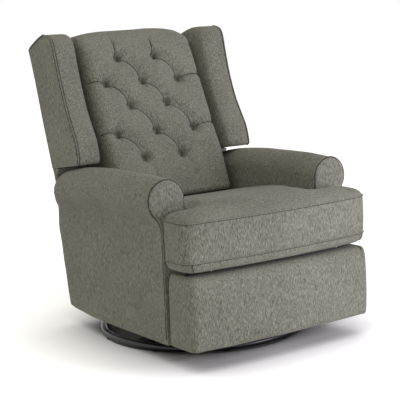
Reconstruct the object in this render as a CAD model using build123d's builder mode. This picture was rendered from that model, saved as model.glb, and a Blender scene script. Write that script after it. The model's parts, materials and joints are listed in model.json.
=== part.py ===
"""Swivel glider recliner with a tufted wing back, rolled arms and a fold-out footrest.

Frame: millimetres, +Z up, the chair faces -Y, +X is the viewer's right.
The origin is on the floor, on the swivel axis.
"""
from build123d import *
from math import atan2, cos, degrees, hypot, pi, radians, sin
import os

os.makedirs("parts", exist_ok=True)

# ---------------------------------------------------------------- base ring
RING_RADIUS = 361          # centreline of the ring tube
TUBE_RADIUS = 12.7
GLIDE_HEIGHT = 3           # the glides hold the tube this far off the floor
GLIDE_RADIUS = 11
GLIDE_COUNT = 9
GLIDE_START = 9            # degrees
RING_Z = GLIDE_HEIGHT + TUBE_RADIUS
BAR_ANGLE = 17             # degrees, direction of the first cross bar
BAR_WIDTH = 40
BAR_HEIGHT = 20
BAR_Z = RING_Z - BAR_HEIGHT / 2
NUT_POCKET = 13            # depth of the pocket for the bolt's nut, from below

# ------------------------------------------------------------ swivel bearing
LOWER_PLATE_RADIUS = 78
LOWER_PLATE_Z = BAR_Z + BAR_HEIGHT
LOWER_PLATE_T = 5
RIM_OUTER = 74             # raised rim that keeps dust off the bearing
RIM_INNER = 69
RIM_GAP = 0.5
BEARING_INNER = 45
BEARING_OUTER = 66
BEARING_GAP = 0.1
UPPER_PLATE_Z = 47
UPPER_PLATE_T = 5
UPPER_PLATE_DEPTH = 230
BOLT_RADIUS = 8
BOLT_HEAD_RADIUS = 14
BOLT_HEAD_T = 6
NUT_T = 8
RUNNING = 0.06             # radial clearance of a pin in its running hole
OPEN_PIVOT = 0.5           # radial clearance where a linkage loop is left open

# -------------------------------------------------------------- glide links
UPRIGHT_X = 150            # inner face of each upright plate
PLATE_T = 4
GLIDE_LINK_X = 157
HANGER_X = 164
GLIDE_PIVOT_Y = 90
GLIDE_PIVOT_Z = 190
GLIDE_LINK_LENGTH = 105
HANGER_PIVOT_Z = GLIDE_PIVOT_Z - GLIDE_LINK_LENGTH
GLIDE_PIN_RADIUS = 5
PIN_HEAD_RADIUS = 8
PIN_HEAD_T = 1.6
PIN_PLAY = 0.5             # a link may slide this much along its pin
GLIDE_LINK_WIDTH = 24
UPRIGHT_TOP = 202
UPRIGHT_HALF = 108         # half of its length along Y
UPRIGHT_CORNER = 18
UPRIGHT_FLANGE = 24        # width of the folded foot
UPRIGHT_SLOT = (0, 125, 36, 26)

# ----------------------------------------------------------------- carriage
CROSS_TUBE_RADIUS = 11
CROSS_TUBE_WALL = 2
CROSS_TUBE_Z = 222
CROSS_TUBE_YS = (-140, 170)
HANGER_FOOT_Z = HANGER_PIVOT_Z - 14
HANGER_SLOT = (0, 150, 40, 30)
TRACK_TOP = 285
TRACK_X = 224
SEAT_PLATE_X = 230
ROLLER_RADIUS = 8
ROLLERS = [(-90, 268), (110, 268)]
ROLLER_LENGTH = 7.4
ROLLER_PLAY = 0.1
SEAT_TRAVEL = 40
SEAT_SLOPE = 0.1           # the seat rises this much per unit forward

# --------------------------------------------------------------------- arms
ARM_INNER_X = 280
ARM_ROLL_RADIUS = 70
ARM_FRONT_Y = -325
ARM_FACING_T = 8
ARM_REAR_Y = 360
ARM_BOTTOM_Z = 64
ARM_TOP_Z = 617
ARM_BOARD_X = 290
ARM_BOARD_T = 20
ARM_BOARD = [(-315, 80), (315, 80), (315, 470), (270, 520), (-315, 540)]
REAR_PANEL_Y = 322         # the low panel between the arms at the rear
REAR_PANEL_HEIGHTS = (70, 266)
REAR_PANEL_DEPTH = 16

# --------------------------------------------------------------------- seat
SEAT_HALF_WIDTH = 268      # between the arms
EAR_HALF_WIDTH = 385       # in front of the arms
EAR_BACK_Y = -365           # a gap stays open between the ears and the arms
SEAT_CORNER_Y = -488       # front of the cushion near its corners
SEAT_BOW = 18              # the front bows out this much at the middle
SEAT_REAR_Y = 215
SEAT_SLOPE_ARC = ((-400, 533), (-90, 503), (225, 431))   # the top drops away to the rear
SEAT_BOTTOM_Z = 326
SEAT_TOP_Z = 528
SEAM_LOW_Z = 362
SEAM_HIGH_Z = 492
RAIL_Z = 313
RAIL_H = 10
RAIL_WIDTH = 40
STRAP_WIDTH = 50
STRAP_PITCH = 84
STRAP_COUNT = 5
STRAP_T = 1.5

# --------------------------------------------------------------------- back
RECLINE_AT = (320, 300)
RECLINE_PIN_RADIUS = 6
BACK_SLOPE = 0.4615        # the button plane leans back this much per unit up
BUTTON_Y = 202             # button plane's y at BUTTON_Z
BUTTON_Z = 606
BACK_CROWN = 42            # pillows stand this far in front of the button plane
BACK_HALF_WIDTH = 266
BACK_NOSE_Z = 490          # the front face rolls under here
BACK_NOSE_RUN = 14
BACK_UNDER = (226, 437)    # rear end of the slanting underside
UNDER_SLOPE = 0.2727
REAR_SLOPE = 0.3217        # lean of the outside back
REAR_TOP = (514, 1023)
REAR_PANEL_T = 14
FRAME_T = 22
WING_OUTER_X = 383
WING_NOSE_X = 318
WING_INNER_X = 268
WING_SET_BACK = 58         # the inner face meets the cushion this far behind the front edge
WING_FOOT = (180, 630)     # points of the wing's side outline
WING_CHEEK = (234, 750)
WING_BROW = (331, 1042)
WING_CROWN = (388, 1079)
WING_HEEL = (192, 619)     # front end of the underside
WING_BOTTOM_Z = 594        # below this, posts carry the wings' rear edge down behind the arms
UNDER_WING_Y = 324         # front edge of the post where it meets the wing
POST_BOTTOM_Z = 538
BUTTON_RADIUS = 11
BUTTON_HEIGHT = 8
BUTTON_ROWS = [(970, (-82, 82)), (881, (-160, 0, 160)), (796, (-80, 80)),
               (698, (-168, 0, 168)), (608, (-82, 82))]

# ----------------------------------------------------------------- footrest
FOOT_HALF_WIDTH = 376
FOOT_REAR_Y = -425
FOOT_SIDE_BACK_Y = -367
FOOT_BOTTOM_Z = 72
FOOT_TOP_Z = 314
FOOT_BOARD_T = 12
FOOT_BOARD_HALF = 338
FOOT_BOARD_HEIGHTS = (85, 301)
FOOT_SIDE_T = 28
DRIVE_X = 236              # lateral plane of the drive links and brackets
OUTER_LINK_X = 242         # lateral plane of the links that carry the footrest
LINK_WIDTH = 18
LINK_T = 4
RIVET_RADIUS = 4
RIVET_HEAD_RADIUS = 7
RIVET_HEAD_T = 1.3
RIVET_PLAY = 0.3
DRIVE_LENGTH = 225
DRIVE_ANGLE = -112         # degrees from forward, footrest closed
LONG_LENGTH = 213.9
LONG_ANGLE = 30.5
LOOP_LENGTH = 70           # distance between the two drive pivots
LOOP_ANGLE = 190
GUIDE_OFFSET = 40          # distance between the long link and the guide link


def ahead(start, length, angle):
    """The point `length` from `start`, `angle` degrees up from straight ahead, as (y, z)."""
    return (start[0] - length * cos(radians(angle)), start[1] + length * sin(radians(angle)))


DRIVE_PIVOT = (-265, 300)
REAR_DRIVE_PIVOT = ahead(DRIVE_PIVOT, LOOP_LENGTH, LOOP_ANGLE)
ELBOW = ahead(DRIVE_PIVOT, DRIVE_LENGTH, DRIVE_ANGLE)
REAR_ELBOW = ahead(ELBOW, LOOP_LENGTH, LOOP_ANGLE)
GUIDE_ELBOW = ahead(ELBOW, GUIDE_OFFSET, DRIVE_ANGLE + 180)
FOOT_PIVOT = ahead(ELBOW, LONG_LENGTH, LONG_ANGLE)
GUIDE_PIVOT = ahead(FOOT_PIVOT, GUIDE_OFFSET, DRIVE_ANGLE + 180)
TORQUE_TUBE_AT = ahead(DRIVE_PIVOT, 60, DRIVE_ANGLE)
TORQUE_TUBE_RADIUS = 8
TORQUE_TUBE_WALL = 2


def save(part, name):
    part.label = name
    export_step(part, f"parts/{name}.step")


def both_sides():
    """Add the mirror image of the open part across the chair's centre plane."""
    mirror(about=Plane.YZ)


def bar_between(a, b, width):
    """A round-ended bar from a to b in the open sketch."""
    run, rise = b[0] - a[0], b[1] - a[1]
    with Locations((a[0] + run / 2, a[1] + rise / 2)):
        SlotCenterToCenter(hypot(run, rise), width, rotation=degrees(atan2(rise, run)))


def hole(at, radius):
    with Locations(at):
        Circle(radius, mode=Mode.SUBTRACT)


def slot(y, z, length, height):
    """A round-ended opening in the open sketch."""
    with Locations((y, z)):
        SlotCenterToCenter(length, height, mode=Mode.SUBTRACT)


def pins(places, radius, x_from, x_to, head_radius, head):
    """Shafts along X at the places, with a head outside the outer end, on one side of the chair."""
    for x, r, length in ((x_from, radius, x_to - x_from), (x_to, head_radius, head)):
        with BuildSketch(Plane.YZ.offset(x)) as discs:
            with Locations(*places):
                Circle(r)
        extrude(discs.sketch, amount=length)


# =============================================================== base
with BuildPart() as base_ring:
    with BuildSketch(Plane.XZ):
        with Locations((RING_RADIUS, RING_Z)):
            Circle(TUBE_RADIUS)
    revolve(axis=Axis.Z)
save(base_ring.part, "base_ring")

with BuildPart() as base_cross_bars:
    with BuildSketch(Plane.XY.offset(BAR_Z)):
        Rectangle(2 * RING_RADIUS, BAR_WIDTH, rotation=BAR_ANGLE)
        Rectangle(2 * RING_RADIUS, BAR_WIDTH, rotation=BAR_ANGLE + 90)
    extrude(amount=BAR_HEIGHT)
    with BuildSketch(Plane.XY.offset(BAR_Z)):
        Circle(BOLT_RADIUS + 1)
    extrude(amount=BAR_HEIGHT, mode=Mode.SUBTRACT)
    with BuildSketch(Plane.XY.offset(BAR_Z)):
        Circle(2 * BOLT_RADIUS)
    extrude(amount=NUT_POCKET, mode=Mode.SUBTRACT)
    add(base_ring.part, mode=Mode.SUBTRACT)
save(base_cross_bars.part, "base_cross_bars")

with BuildPart() as floor_glides:
    with BuildSketch():
        with PolarLocations(RING_RADIUS, GLIDE_COUNT, start_angle=GLIDE_START):
            Circle(GLIDE_RADIUS)
    extrude(amount=GLIDE_HEIGHT)
save(floor_glides.part, "floor_glides")

with BuildPart() as lower_swivel_plate:
    with BuildSketch(Plane.XY.offset(LOWER_PLATE_Z)):
        Circle(LOWER_PLATE_RADIUS)
        Circle(BOLT_RADIUS + RUNNING, mode=Mode.SUBTRACT)
    extrude(amount=LOWER_PLATE_T)
    with BuildSketch(Plane.XY.offset(LOWER_PLATE_Z + LOWER_PLATE_T)):
        Circle(RIM_OUTER)
        Circle(RIM_INNER, mode=Mode.SUBTRACT)
    extrude(amount=UPPER_PLATE_Z - LOWER_PLATE_Z - LOWER_PLATE_T - RIM_GAP)
save(lower_swivel_plate.part, "lower_swivel_plate")

with BuildPart() as swivel_bearing:
    with BuildSketch(Plane.XY.offset(LOWER_PLATE_Z + LOWER_PLATE_T)):
        Circle(BEARING_OUTER)
        Circle(BEARING_INNER, mode=Mode.SUBTRACT)
    extrude(amount=UPPER_PLATE_Z - LOWER_PLATE_Z - LOWER_PLATE_T - BEARING_GAP)
save(swivel_bearing.part, "swivel_bearing")

# ======================================================= swivel frame
with BuildPart() as upper_swivel_plate:
    with BuildSketch(Plane.XY.offset(UPPER_PLATE_Z)):
        RectangleRounded(2 * (UPRIGHT_X + PLATE_T), UPPER_PLATE_DEPTH, 20)
        Circle(BOLT_RADIUS, mode=Mode.SUBTRACT)
    extrude(amount=UPPER_PLATE_T)
save(upper_swivel_plate.part, "upper_swivel_plate")

UPRIGHT_FOOT = UPPER_PLATE_Z + UPPER_PLATE_T
BOLT_END_Z = BAR_Z + 2
with BuildPart() as swivel_bolt:
    with BuildSketch(Plane.XY.offset(BOLT_END_Z)):
        Circle(BOLT_RADIUS)
    extrude(amount=UPRIGHT_FOOT - BOLT_END_Z)
    for z, thickness in ((UPRIGHT_FOOT, BOLT_HEAD_T), (BOLT_END_Z + 1, NUT_T)):
        with BuildSketch(Plane.XY.offset(z)):
            RegularPolygon(BOLT_HEAD_RADIUS, 6)
        extrude(amount=thickness)
save(swivel_bolt.part, "swivel_bolt")

with BuildPart() as upright_plates:
    with BuildSketch(Plane.YZ.offset(UPRIGHT_X)):
        with BuildLine():
            Polyline(
                (-UPRIGHT_HALF, UPRIGHT_FOOT), (UPRIGHT_HALF, UPRIGHT_FOOT),
                (UPRIGHT_HALF - 2, UPRIGHT_TOP - UPRIGHT_CORNER),
                (UPRIGHT_HALF - UPRIGHT_CORNER, UPRIGHT_TOP),
                (UPRIGHT_CORNER - UPRIGHT_HALF, UPRIGHT_TOP),
                (2 - UPRIGHT_HALF, UPRIGHT_TOP - UPRIGHT_CORNER), close=True)
        make_face()
        for y in (-GLIDE_PIVOT_Y, GLIDE_PIVOT_Y):
            hole((y, GLIDE_PIVOT_Z), GLIDE_PIN_RADIUS)
        slot(*UPRIGHT_SLOT)
    extrude(amount=PLATE_T)
    with BuildSketch(Plane.XZ.offset(4 - UPRIGHT_HALF)):
        with Locations((UPRIGHT_X - UPRIGHT_FLANGE / 2, UPRIGHT_FOOT + PLATE_T / 2)):
            Rectangle(UPRIGHT_FLANGE, PLATE_T)
    extrude(amount=2 * (UPRIGHT_HALF - 4))
    both_sides()
save(upright_plates.part, "upright_plates")

with BuildPart() as glide_pivot_pins:
    pins([(y, GLIDE_PIVOT_Z) for y in (-GLIDE_PIVOT_Y, GLIDE_PIVOT_Y)], GLIDE_PIN_RADIUS,
         UPRIGHT_X, GLIDE_LINK_X + PLATE_T + PIN_PLAY, PIN_HEAD_RADIUS, PIN_HEAD_T)
    both_sides()
save(glide_pivot_pins.part, "glide_pivot_pins")

# ========================================================= glide links
with BuildPart() as front_glide_links:
    with BuildSketch(Plane.YZ.offset(GLIDE_LINK_X)):
        top = (-GLIDE_PIVOT_Y, GLIDE_PIVOT_Z)
        low = (-GLIDE_PIVOT_Y, HANGER_PIVOT_Z)
        bar_between(top, low, GLIDE_LINK_WIDTH)
        hole(top, GLIDE_PIN_RADIUS + RUNNING)
        hole(low, GLIDE_PIN_RADIUS + RUNNING)
    extrude(amount=PLATE_T)
    both_sides()
save(front_glide_links.part, "front_glide_links")

with BuildPart() as rear_glide_links:
    with BuildSketch(Plane.YZ.offset(GLIDE_LINK_X)):
        top = (GLIDE_PIVOT_Y, GLIDE_PIVOT_Z)
        low = (GLIDE_PIVOT_Y, HANGER_PIVOT_Z)
        bar_between(top, low, GLIDE_LINK_WIDTH)
        hole(top, GLIDE_PIN_RADIUS + RUNNING)
        hole(low, GLIDE_PIN_RADIUS + OPEN_PIVOT)
    extrude(amount=PLATE_T)
    both_sides()
save(rear_glide_links.part, "rear_glide_links")

# ============================================================ carriage
with BuildPart() as hanger_plates:
    with BuildSketch(Plane.YZ.offset(HANGER_X)):
        with BuildLine():
            Polyline(
                (-108, HANGER_FOOT_Z), (108, HANGER_FOOT_Z), (190, CROSS_TUBE_Z - 12),
                (190, CROSS_TUBE_Z + 16), (-160, CROSS_TUBE_Z + 16), (-160, CROSS_TUBE_Z - 12), close=True)
        make_face()
        fillet(vertices(), 9)
        for y in (-GLIDE_PIVOT_Y, GLIDE_PIVOT_Y):
            hole((y, HANGER_PIVOT_Z), GLIDE_PIN_RADIUS)
        for y in CROSS_TUBE_YS:
            hole((y, CROSS_TUBE_Z), CROSS_TUBE_RADIUS)
        slot(*HANGER_SLOT)
    extrude(amount=PLATE_T)
    both_sides()
save(hanger_plates.part, "hanger_plates")

with BuildPart() as hanger_pins:
    pins([(y, HANGER_PIVOT_Z) for y in (-GLIDE_PIVOT_Y, GLIDE_PIVOT_Y)], GLIDE_PIN_RADIUS,
         GLIDE_LINK_X - PIN_PLAY, HANGER_X + PLATE_T, PIN_HEAD_RADIUS, PIN_HEAD_T)
    both_sides()
save(hanger_pins.part, "hanger_pins")

with BuildPart() as cross_tubes:
    with BuildSketch(Plane.YZ.offset(-ARM_BOARD_X)):
        with Locations(*[(y, CROSS_TUBE_Z) for y in CROSS_TUBE_YS]):
            Circle(CROSS_TUBE_RADIUS)
            Circle(CROSS_TUBE_RADIUS - CROSS_TUBE_WALL, mode=Mode.SUBTRACT)
    extrude(amount=2 * ARM_BOARD_X)
save(cross_tubes.part, "cross_tubes")

with BuildPart() as track_plates:
    with BuildSketch(Plane.YZ.offset(TRACK_X)):
        with BuildLine():
            Polyline(
                (-165, CROSS_TUBE_Z - 16), (195, CROSS_TUBE_Z - 16), (195, TRACK_TOP - 45), (150, TRACK_TOP),
                (-120, TRACK_TOP), (-165, TRACK_TOP - 39), close=True)
        make_face()
        fillet(vertices(), 8)
        for y in CROSS_TUBE_YS:
            hole((y, CROSS_TUBE_Z), CROSS_TUBE_RADIUS)
    extrude(amount=PLATE_T)
    both_sides()
save(track_plates.part, "track_plates")

with BuildPart() as track_rollers:
    with BuildSketch(Plane.YZ.offset(TRACK_X + PLATE_T)):
        with Locations(*ROLLERS):
            Circle(ROLLER_RADIUS)
    extrude(amount=ROLLER_LENGTH)
    both_sides()
save(track_rollers.part, "track_rollers")


def around(centre, radius, angle):
    """The point of a circle at an angle in degrees."""
    return (centre[0] + radius * cos(radians(angle)), centre[1] + radius * sin(radians(angle)))


def arm_outline(top, neck_x, foot_x, inset):
    """The arm's section: inner face, roll, neck, outer face that draws in towards the foot."""
    radius = ARM_ROLL_RADIUS - inset
    centre = (ARM_INNER_X + ARM_ROLL_RADIUS, top - ARM_ROLL_RADIUS)
    inner_x = ARM_INNER_X + inset
    foot_z = ARM_BOTTOM_Z + inset / 2
    crest = around(centre, radius, 90)
    tuck = around(centre, radius, -43)
    neck = (neck_x, centre[1] - 106)
    with BuildLine() as outline:
        Line((inner_x, foot_z), (inner_x, centre[1]))
        ThreePointArc((inner_x, centre[1]), around(centre, radius, 135), crest)
        ThreePointArc(crest, around(centre, radius, 20), tuck)
        ThreePointArc(tuck, (neck_x + 7, centre[1] - 73), neck)
        Polyline(neck, (foot_x, foot_z), (inner_x, foot_z))
    make_face(outline.edges())


# station y, height of the crest, outer face at the neck and at the foot, inset of the section
ARM_STATIONS = [(ARM_FRONT_Y, ARM_TOP_Z, 368, 364, 0), (-180, 623, 373, 369, 0), (0, 621, 376, 373, 0),
                (160, 611, 377, 368, 0), (270, 596, 378, 353, 2), (318, 584, 380, 347, 8),
                (342, 566, 381, 344, 26), (354, 548, 379, 343, 36), (ARM_REAR_Y, 530, 377, 342, 44)]

with BuildPart() as arm_frame_right:
    with BuildSketch(Plane.YZ.offset(ARM_BOARD_X)):
        with BuildLine():
            Polyline(*ARM_BOARD, close=True)
        make_face()
    extrude(amount=ARM_BOARD_T)
save(arm_frame_right.part, "arm_frame_right")
save(mirror(arm_frame_right.part, about=Plane.YZ), "arm_frame_left")

with BuildPart() as arm_pad_right:
    for y, *section in ARM_STATIONS:
        with BuildSketch(Plane.XZ.offset(-y)):
            arm_outline(*section)
    loft(ruled=True)
    add(arm_frame_right.part, mode=Mode.SUBTRACT)
    with BuildSketch(Plane.YZ.offset(ARM_INNER_X - 20)):
        with Locations(*[(y, CROSS_TUBE_Z) for y in CROSS_TUBE_YS]):
            Circle(CROSS_TUBE_RADIUS)
    extrude(amount=ARM_BOARD_X - ARM_INNER_X + 20, mode=Mode.SUBTRACT)
save(arm_pad_right.part, "arm_pad_right")
save(mirror(arm_pad_right.part, about=Plane.YZ), "arm_pad_left")

with BuildPart() as arm_facing_right:
    for depth, inset in ((0, 2), (ARM_FACING_T - 3, 2), (ARM_FACING_T, 5)):
        with BuildSketch(Plane.XZ.offset(depth - ARM_FRONT_Y)):
            arm_outline(ARM_TOP_Z, 368 - inset, 364 - inset, inset)
    loft(ruled=True)
save(arm_facing_right.part, "arm_facing_right")
save(mirror(arm_facing_right.part, about=Plane.YZ), "arm_facing_left")

with BuildPart() as rear_base_panel:
    with BuildSketch(Plane.XZ.offset(-REAR_PANEL_Y)):
        with Locations((0, sum(REAR_PANEL_HEIGHTS) / 2)):
            Rectangle(2 * ARM_INNER_X, REAR_PANEL_HEIGHTS[1] - REAR_PANEL_HEIGHTS[0])
    extrude(amount=-REAR_PANEL_DEPTH)
save(rear_base_panel.part, "rear_base_panel")

# ====================================================== release lever
LEVER_PIVOT = (-90, 430)
LEVER_X = -278.6
LEVER_T = 3
LEVER_PIN_RADIUS = 4
PADDLE_AT = (-90, 543)
BRACKET_T = 1
with BuildPart() as release_bracket:
    with BuildSketch(Plane.YZ.offset(-ARM_INNER_X)):
        with Locations(LEVER_PIVOT):
            Circle(14)
    extrude(amount=BRACKET_T)
    with BuildSketch(Plane.YZ.offset(-ARM_INNER_X + BRACKET_T)):
        with Locations(LEVER_PIVOT):
            Circle(LEVER_PIN_RADIUS)
    extrude(amount=LEVER_T + 1.6)
save(release_bracket.part, "release_bracket")

with BuildPart() as release_lever:
    with BuildSketch(Plane.YZ.offset(LEVER_X)):
        bar_between(LEVER_PIVOT, (PADDLE_AT[0], PADDLE_AT[1] - 23), 18)
        with Locations(PADDLE_AT):
            RectangleRounded(44, 34, 10)
        hole(LEVER_PIVOT, LEVER_PIN_RADIUS + RUNNING)
    extrude(amount=LEVER_T)
save(release_lever.part, "release_lever")

# ================================================================ seat
with BuildPart() as seat_side_plates:
    with BuildSketch(Plane.YZ.offset(SEAT_PLATE_X)):
        with BuildLine():
            Polyline(
                (-284, RAIL_Z), (-284, 287), (-225, 272), (-205, 242), (250, 242), (300, 285),
                (337, 285), (337, RAIL_Z), close=True)
        make_face()
        for y, z in ROLLERS:
            with Locations((y + SEAT_TRAVEL / 2, z - SEAT_TRAVEL * SEAT_SLOPE / 2)):
                SlotCenterToCenter(
                    SEAT_TRAVEL, 2 * (ROLLER_RADIUS + ROLLER_PLAY), rotation=-degrees(atan2(SEAT_SLOPE, 1)),
                    mode=Mode.SUBTRACT)
        hole(DRIVE_PIVOT, RIVET_RADIUS)
        hole(REAR_DRIVE_PIVOT, RIVET_RADIUS)
        hole(RECLINE_AT, RECLINE_PIN_RADIUS + RUNNING)
    extrude(amount=PLATE_T)
    both_sides()
save(seat_side_plates.part, "seat_side_plates")

with BuildPart() as seat_link_rivets:
    pins([DRIVE_PIVOT, REAR_DRIVE_PIVOT], RIVET_RADIUS, SEAT_PLATE_X, DRIVE_X + LINK_T + RIVET_PLAY,
         RIVET_HEAD_RADIUS, 1.2)
    both_sides()
save(seat_link_rivets.part, "seat_link_rivets")

RAIL_HALF = 262
FRONT_RAIL_Y = (-330, -290)
REAR_RAIL_Y = (150, 190)
for name, (y_from, y_to) in (("seat_front_rail", FRONT_RAIL_Y), ("seat_rear_rail", REAR_RAIL_Y)):
    with BuildPart() as cross_rail:
        with BuildSketch(Plane.XY.offset(RAIL_Z)):
            with Locations((0, (y_from + y_to) / 2)):
                RectangleRounded(2 * RAIL_HALF, y_to - y_from, 4)
        extrude(amount=RAIL_H)
    save(cross_rail.part, name)

SIDE_RAIL_X = RAIL_HALF - RAIL_WIDTH / 2
for name, x in (("seat_side_rail_left", -SIDE_RAIL_X), ("seat_side_rail_right", SIDE_RAIL_X)):
    with BuildPart() as side_rail:
        with BuildSketch(Plane.XY.offset(RAIL_Z)):
            with Locations((x, (FRONT_RAIL_Y[1] + REAR_RAIL_Y[0]) / 2)):
                Rectangle(RAIL_WIDTH, REAR_RAIL_Y[0] - FRONT_RAIL_Y[1])
        extrude(amount=RAIL_H)
    save(side_rail.part, name)

with BuildPart() as seat_webbing:
    with BuildSketch(Plane.XY.offset(RAIL_Z + RAIL_H)):
        with Locations((0, (FRONT_RAIL_Y[0] + REAR_RAIL_Y[1]) / 2)):
            with GridLocations(STRAP_PITCH, 1, STRAP_COUNT, 1):
                Rectangle(STRAP_WIDTH, REAR_RAIL_Y[1] - FRONT_RAIL_Y[0] - 10)
    extrude(amount=STRAP_T)
save(seat_webbing.part, "seat_webbing")


def seat_outline(inset, pull, bow=SEAT_BOW):
    """The T-shaped cushion's outline: ears in front of the arms, a straight part between them."""
    ear = EAR_HALF_WIDTH - inset
    side = SEAT_HALF_WIDTH - inset
    front = SEAT_CORNER_Y + inset * 0.7
    back_of_ear = EAR_BACK_Y - inset * 0.25
    rear = SEAT_REAR_Y - inset
    corner = 46 - inset * 0.25
    nip = corner * (1 - cos(pi / 4))
    with BuildLine() as outline:
        ThreePointArc((-ear + corner, front), (0, front - bow + pull), (ear - corner, front))
        ThreePointArc((ear - corner, front), (ear - nip, front + nip), (ear, front + corner))
        Line((ear, front + corner), (ear, back_of_ear))
        Line((ear, back_of_ear), (side, back_of_ear))
        Line((side, back_of_ear), (side, rear))
        Line((side, rear), (-side, rear))
        Line((-side, rear), (-side, back_of_ear))
        Line((-side, back_of_ear), (-ear, back_of_ear))
        Line((-ear, back_of_ear), (-ear, front + corner))
        ThreePointArc((-ear, front + corner), (-ear + nip, front + nip), (-ear + corner, front))
    make_face(outline.edges())


# height, inset, how far the side pulls in between its corners
SEAT_STATIONS = [(SEAT_BOTTOM_Z, 22, 2), (338, 6, 1), (SEAM_LOW_Z, 0, 0), (427, 2, 3), (SEAM_HIGH_Z, 0, 0),
                 (511, 13, 0), (522, 38, 0), (SEAT_TOP_Z, 80, 0)]
with BuildPart() as seat_cushion:
    for z, inset, pull in SEAT_STATIONS:
        with BuildSketch(Plane.XY.offset(z)):
            seat_outline(inset, pull)
    loft(ruled=True)
    with BuildSketch(Plane.YZ.offset(-EAR_HALF_WIDTH)):
        with BuildLine():
            slope = ThreePointArc(*SEAT_SLOPE_ARC)
            Polyline(slope @ 1, ((slope @ 1).X, 560), ((slope @ 0).X, 560), slope @ 0)
        make_face()
    extrude(amount=2 * EAR_HALF_WIDTH, mode=Mode.SUBTRACT)
save(seat_cushion.part, "seat_cushion")


# ================================================================ back
def rear_y(z):
    """The outside back's rear face, leaning above the arms."""
    return REAR_TOP[0] + REAR_SLOPE * (z - REAR_TOP[1])


def front_y(z, crown):
    """The back cushion's front, `crown` in front of the button plane."""
    return BUTTON_Y + BACK_SLOPE * (z - BUTTON_Z) - crown * hypot(1, BACK_SLOPE)


BRACKET_KNEE = (322, 440)
BRACKET_TOP = 590
with BuildPart() as back_brackets:
    with BuildSketch(Plane.YZ.offset(DRIVE_X)):
        bar_between(RECLINE_AT, BRACKET_KNEE, 30)
        bar_between(BRACKET_KNEE, (rear_y(BRACKET_TOP) - REAR_PANEL_T - FRAME_T / 2 - 1, BRACKET_TOP), 18)
        hole(RECLINE_AT, RECLINE_PIN_RADIUS)
    extrude(amount=LINK_T)
    both_sides()
save(back_brackets.part, "back_brackets")

with BuildPart() as recline_pins:
    pins([RECLINE_AT], RECLINE_PIN_RADIUS, SEAT_PLATE_X - 0.4, DRIVE_X + LINK_T, 10, 2)
    both_sides()
save(recline_pins.part, "recline_pins")

FRAME_BOTTOM = 452
FRAME_TOP = 978
with BuildPart() as back_inner_frame:
    with BuildSketch(Plane.YZ.offset(-DRIVE_X)):
        with BuildLine():
            Polyline(
                (rear_y(FRAME_BOTTOM) - REAR_PANEL_T - FRAME_T, FRAME_BOTTOM),
                (rear_y(FRAME_BOTTOM) - REAR_PANEL_T, FRAME_BOTTOM),
                (rear_y(FRAME_TOP) - REAR_PANEL_T, FRAME_TOP),
                (rear_y(FRAME_TOP) - REAR_PANEL_T - FRAME_T, FRAME_TOP), close=True)
        make_face()
    extrude(amount=2 * DRIVE_X)
save(back_inner_frame.part, "back_inner_frame")

PANEL_TOP = 1040
PANEL_BEND = 590
PANEL_BOTTOM = 310
PANEL_FOOT_Y = 358
with BuildPart() as outside_back_panel:
    with BuildSketch(Plane.YZ.offset(-BACK_HALF_WIDTH)):
        with BuildLine():
            Polyline(
                (PANEL_FOOT_Y, PANEL_BOTTOM), (rear_y(PANEL_BEND), PANEL_BEND),
                (rear_y(PANEL_TOP), PANEL_TOP), (rear_y(PANEL_TOP) - REAR_PANEL_T, PANEL_TOP),
                (rear_y(PANEL_BEND) - REAR_PANEL_T, PANEL_BEND),
                (PANEL_FOOT_Y - REAR_PANEL_T, PANEL_BOTTOM), close=True)
        make_face()
    extrude(amount=2 * BACK_HALF_WIDTH)
    fillet(faces().sort_by(Axis.Z)[-1].edges().sort_by(SortBy.LENGTH)[:2], 40)
save(outside_back_panel.part, "outside_back_panel")

# side x, crown in front of the button plane, height of the top
BACK_STATIONS = [(0, BACK_CROWN, 1082), (120, BACK_CROWN, 1081), (185, BACK_CROWN - 3, 1076),
                 (238, BACK_CROWN - 20, 1063), (BACK_HALF_WIDTH, 0, 1040)]


def back_section(crown, top):
    """The back cushion's side section: front, rolled top, seat for the panel and frame, underside."""
    low = (front_y(BACK_NOSE_Z, crown), BACK_NOSE_Z)
    nose_y = low[0] + BACK_NOSE_RUN
    nose = (nose_y, BACK_UNDER[1] + (BACK_UNDER[0] - nose_y) * UNDER_SLOPE)
    brow = (front_y(top - 75, crown), top - 75)
    crest = (brow[0] + 98 - (BACK_CROWN - crown), top)
    nape_z = min(PANEL_TOP, top - 36)
    nape = (rear_y(nape_z) - 1, nape_z)
    with BuildLine() as outline:
        Line(low, brow)
        over = TangentArc(brow, crest, tangent=(BACK_SLOPE, 1))
        TangentArc(crest, nape, tangent=over % 1)
        Polyline(
            nape, (rear_y(nape_z) - REAR_PANEL_T, nape_z), (rear_y(FRAME_TOP) - REAR_PANEL_T, FRAME_TOP),
            (rear_y(FRAME_TOP) - REAR_PANEL_T - FRAME_T, FRAME_TOP),
            (rear_y(BACK_UNDER[1]) - REAR_PANEL_T - FRAME_T, BACK_UNDER[1]), BACK_UNDER, nose)
        ThreePointArc(nose, (low[0] + 3, (low[1] + nose[1]) / 2 - 2), low)
    make_face(outline.edges())


# ------------------------------------------------------ tufts and pleats
BUTTON_PLANE = Plane(
    origin=(0, BUTTON_Y, BUTTON_Z), x_dir=(1, 0, 0), z_dir=Vector(0, -1, BACK_SLOPE).normalized())
UP_PLANE = hypot(1, BACK_SLOPE)       # length along the plane per unit of height
PLEAT_DEPTH = 8                       # the pleats' bottoms stand this far off the plane
PLEAT_HALF = 50
PILLOW_TOP = BACK_CROWN + 4


def in_plane(x, z):
    return (x, (z - BUTTON_Z) * UP_PLANE)


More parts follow.
